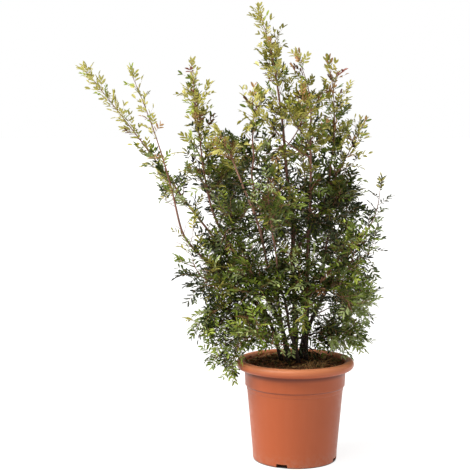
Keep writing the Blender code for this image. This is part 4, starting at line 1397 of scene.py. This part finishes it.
def straw(rng):
    """The line of a straw that lies on the soil."""
    start = scatter(rng, STRAW_REACH)
    bearing, run = rng.uniform(*BEARINGS), rng.uniform(*STRAW_LENGTHS)
    way = np.array((math.cos(bearing), math.sin(bearing), rng.uniform(*STRAW_SLOPES)))
    bend = np.array((-math.sin(bearing), math.cos(bearing), 0)) * rng.uniform(-STRAW_BEND, STRAW_BEND)
    return bent(start + (0, 0, STRAW_RISE), way * run, bend * run, STRAW_RINGS)


def blade(rng):
    """The line of a dry blade that stands in the soil."""
    bearing = math.radians(rng.uniform(*BLADE_BEARINGS))
    start = on_soil(rng.uniform(*BLADE_PLACES), bearing)
    rise = rng.uniform(*BLADE_RISES)
    lean = np.array((rng.uniform(-0.5, 0.5), rng.uniform(-0.4, 0.5), 1.0)) * rise
    bend = np.array((rng.uniform(-0.3, 0.3), 0, -0.15)) * rise
    return bent(start, lean, bend, STRAW_RINGS)


def make_litter(finishes):
    """Crumbs, fallen leaves, straws and a tuft of dry blades on the soil."""
    rng = random.Random(SEED)
    crumbs, brown, tan, green = Batch(), Batch(), Batch(), Batch()
    for _ in range(CRUMB_COUNT):
        shape, faces = lump(rng)
        size = rng.uniform(*CRUMB_SIZES)
        crumbs.add(shape * size + scatter(rng, CRUMB_REACH) + (0, 0, 0.3 * size), faces)
    for index in range(FALLEN_COUNT):
        (tan, brown, brown, green)[index % 4].add(fallen_leaf(rng), LEAFLET_FACES)
    for index in range(STRAW_COUNT):
        points = straw(rng)
        if (np.hypot(points[:, 0], points[:, 1]) < STRAW_EDGE).all():
            (tan if index % 2 else brown).add(*tube(points, STRAW_RADII, STRAW_SIDES))
    for _ in range(BLADE_COUNT):
        tan.add(*tube(blade(rng), BLADE_RADII, STRAW_SIDES))
    crumbs.piece("soil_crumbs", finishes["crumb"], "potting_soil", smooth=False)
    brown.piece("fallen_leaves", finishes["brown"], "potting_soil")
    tan.piece("straw", finishes["tan"], "potting_soil")
    green.piece("fallen_green_leaves", finishes["green"], "potting_soil")


def make_limbs(paths):
    """The stems and boughs in their bark."""
    brown = bark_finish("bark_finish", (0.150, 0.062, 0.038), (0.330, 0.160, 0.110))
    pink = bark_finish("pink_bark_finish", (0.270, 0.120, 0.075), (0.580, 0.340, 0.250))
    for index, limb in enumerate(LIMBS):
        points = paths[limb.name]
        knots = [(paths[other.name][0], other.thick) for other in LIMBS if other.parent == limb.name]
        knots += [(foot, SIDE_SHOOT_RADIUS) for foot in side_feet(limb, points)]
        bark = Batch()
        bark.add(*tube(points, bark_radii(limb, points, knots, index), BARK_SIDES))
        finish = pink if limb.name in SHOWN_STEMS else brown
        bark.piece(f"bark_{limb.name}", finish, "bark", [limb.name])


def make_crown(paths, finishes):
    """Every mass of foliage, joined by what it is made of."""
    shoots = plan_shoots(paths)
    crown = Crown(shoots, paths)
    for owner in range(len(shoots)):
        crown.grow(owner)
    for index, limb in enumerate(LIMBS):
        crown.clothe(limb, paths[limb.name], index)
    names = [shoot.name for shoot in shoots]
    crown.shoot_wood.piece("shoot_stems", finishes["shoot"], "bark", names)
    crown.twigs.piece("twigs", finishes["twig"], "bark", names)
    crown.stalks.piece("leaf_stalks", finishes["stalk"], "leaf_olive", names)
    for tint, batch in crown.blades.items():
        if batch.count:
            held = [names[owner] for owner in sorted(crown.holders[tint])]
            batch.piece(f"leaflets_{tint}", leaf_finish(tint), TINTS[tint][2], held)


def make_sky():
    """A sky that the camera sees white and that lights the tree much less."""
    world = bpy.data.worlds.new("studio")
    world.use_nodes = True
    nodes, links = world.node_tree.nodes, world.node_tree.links
    seen = nodes.new("ShaderNodeLightPath").outputs["Is Camera Ray"]
    level = nodes.new("ShaderNodeMapRange")
    level.inputs["To Min"].default_value = SKY_LEVEL
    level.inputs["To Max"].default_value = SKY_SEEN
    links.new(seen, level.inputs["Value"])
    links.new(level.outputs[0], nodes["Background"].inputs["Strength"])
    nodes["Background"].inputs["Color"].default_value = (1, 1, 1, 1)
    bpy.context.scene.world = world


def make_lights():
    """The soft lights of the photo's studio."""
    for name, (strength, spread, height, bearing) in LIGHTS.items():
        light = bpy.data.lights.new(name, "SUN")
        light.energy = strength
        light.angle = math.radians(spread)
        light.color = LIGHT_COLOUR
        put(name, light).rotation_euler = (math.radians(90 - height), 0, math.radians(bearing))


def make_floor():
    floor = bpy.data.meshes.new("floor")
    corners = [(x * FLOOR_HALF, y * FLOOR_HALF, 0) for x, y in ((-1, -1), (1, -1), (1, 1), (-1, 1))]
    floor.from_pydata(corners, [], [(0, 1, 2, 3)])
    thing = put("floor", floor)
    floor.materials.append(floor_finish())


def make_camera():
    """The photo's view, a little from above."""
    camera = bpy.data.cameras.new("camera")
    camera.lens = CAMERA_LENS
    camera.sensor_width = SENSOR
    holder = put("camera", camera)
    holder.location = CAMERA_PLACE
    holder.rotation_euler = (math.pi / 2 - CAMERA_DOWN, 0, 0)
    bpy.context.scene.camera = holder


paths = limb_paths()
make_pot(pot_finish())
make_soil(soil_finish("soil_finish", (0.075, 0.033, 0.014), (0.360, 0.165, 0.070), (0.500, 0.290, 0.140)))
make_litter({
    "crumb": soil_finish("crumb_finish", (0.070, 0.030, 0.014), (0.320, 0.150, 0.066), (0.420, 0.260, 0.140)),
    "brown": litter_finish("fallen_leaf_finish", (0.150, 0.055, 0.020), (0.420, 0.170, 0.060)),
    "tan": litter_finish("straw_finish", (0.360, 0.180, 0.060), (0.700, 0.440, 0.180)),
    "green": litter_finish("fallen_green_leaf_finish", (0.080, 0.085, 0.018), (0.220, 0.210, 0.060)),
})
make_limbs(paths)
make_crown(paths, {
    "shoot": twig_finish("shoot_finish", (0.170, 0.064, 0.040), (0.380, 0.180, 0.120)),
    "twig": twig_finish("twig_finish", (0.160, 0.060, 0.034), (0.360, 0.165, 0.095)),
    "stalk": twig_finish("stalk_finish", (0.170, 0.085, 0.030), (0.340, 0.190, 0.070)),
})
bpy.context.scene.view_settings.view_transform = "Standard"
make_sky()
make_lights()
make_floor()
make_camera()
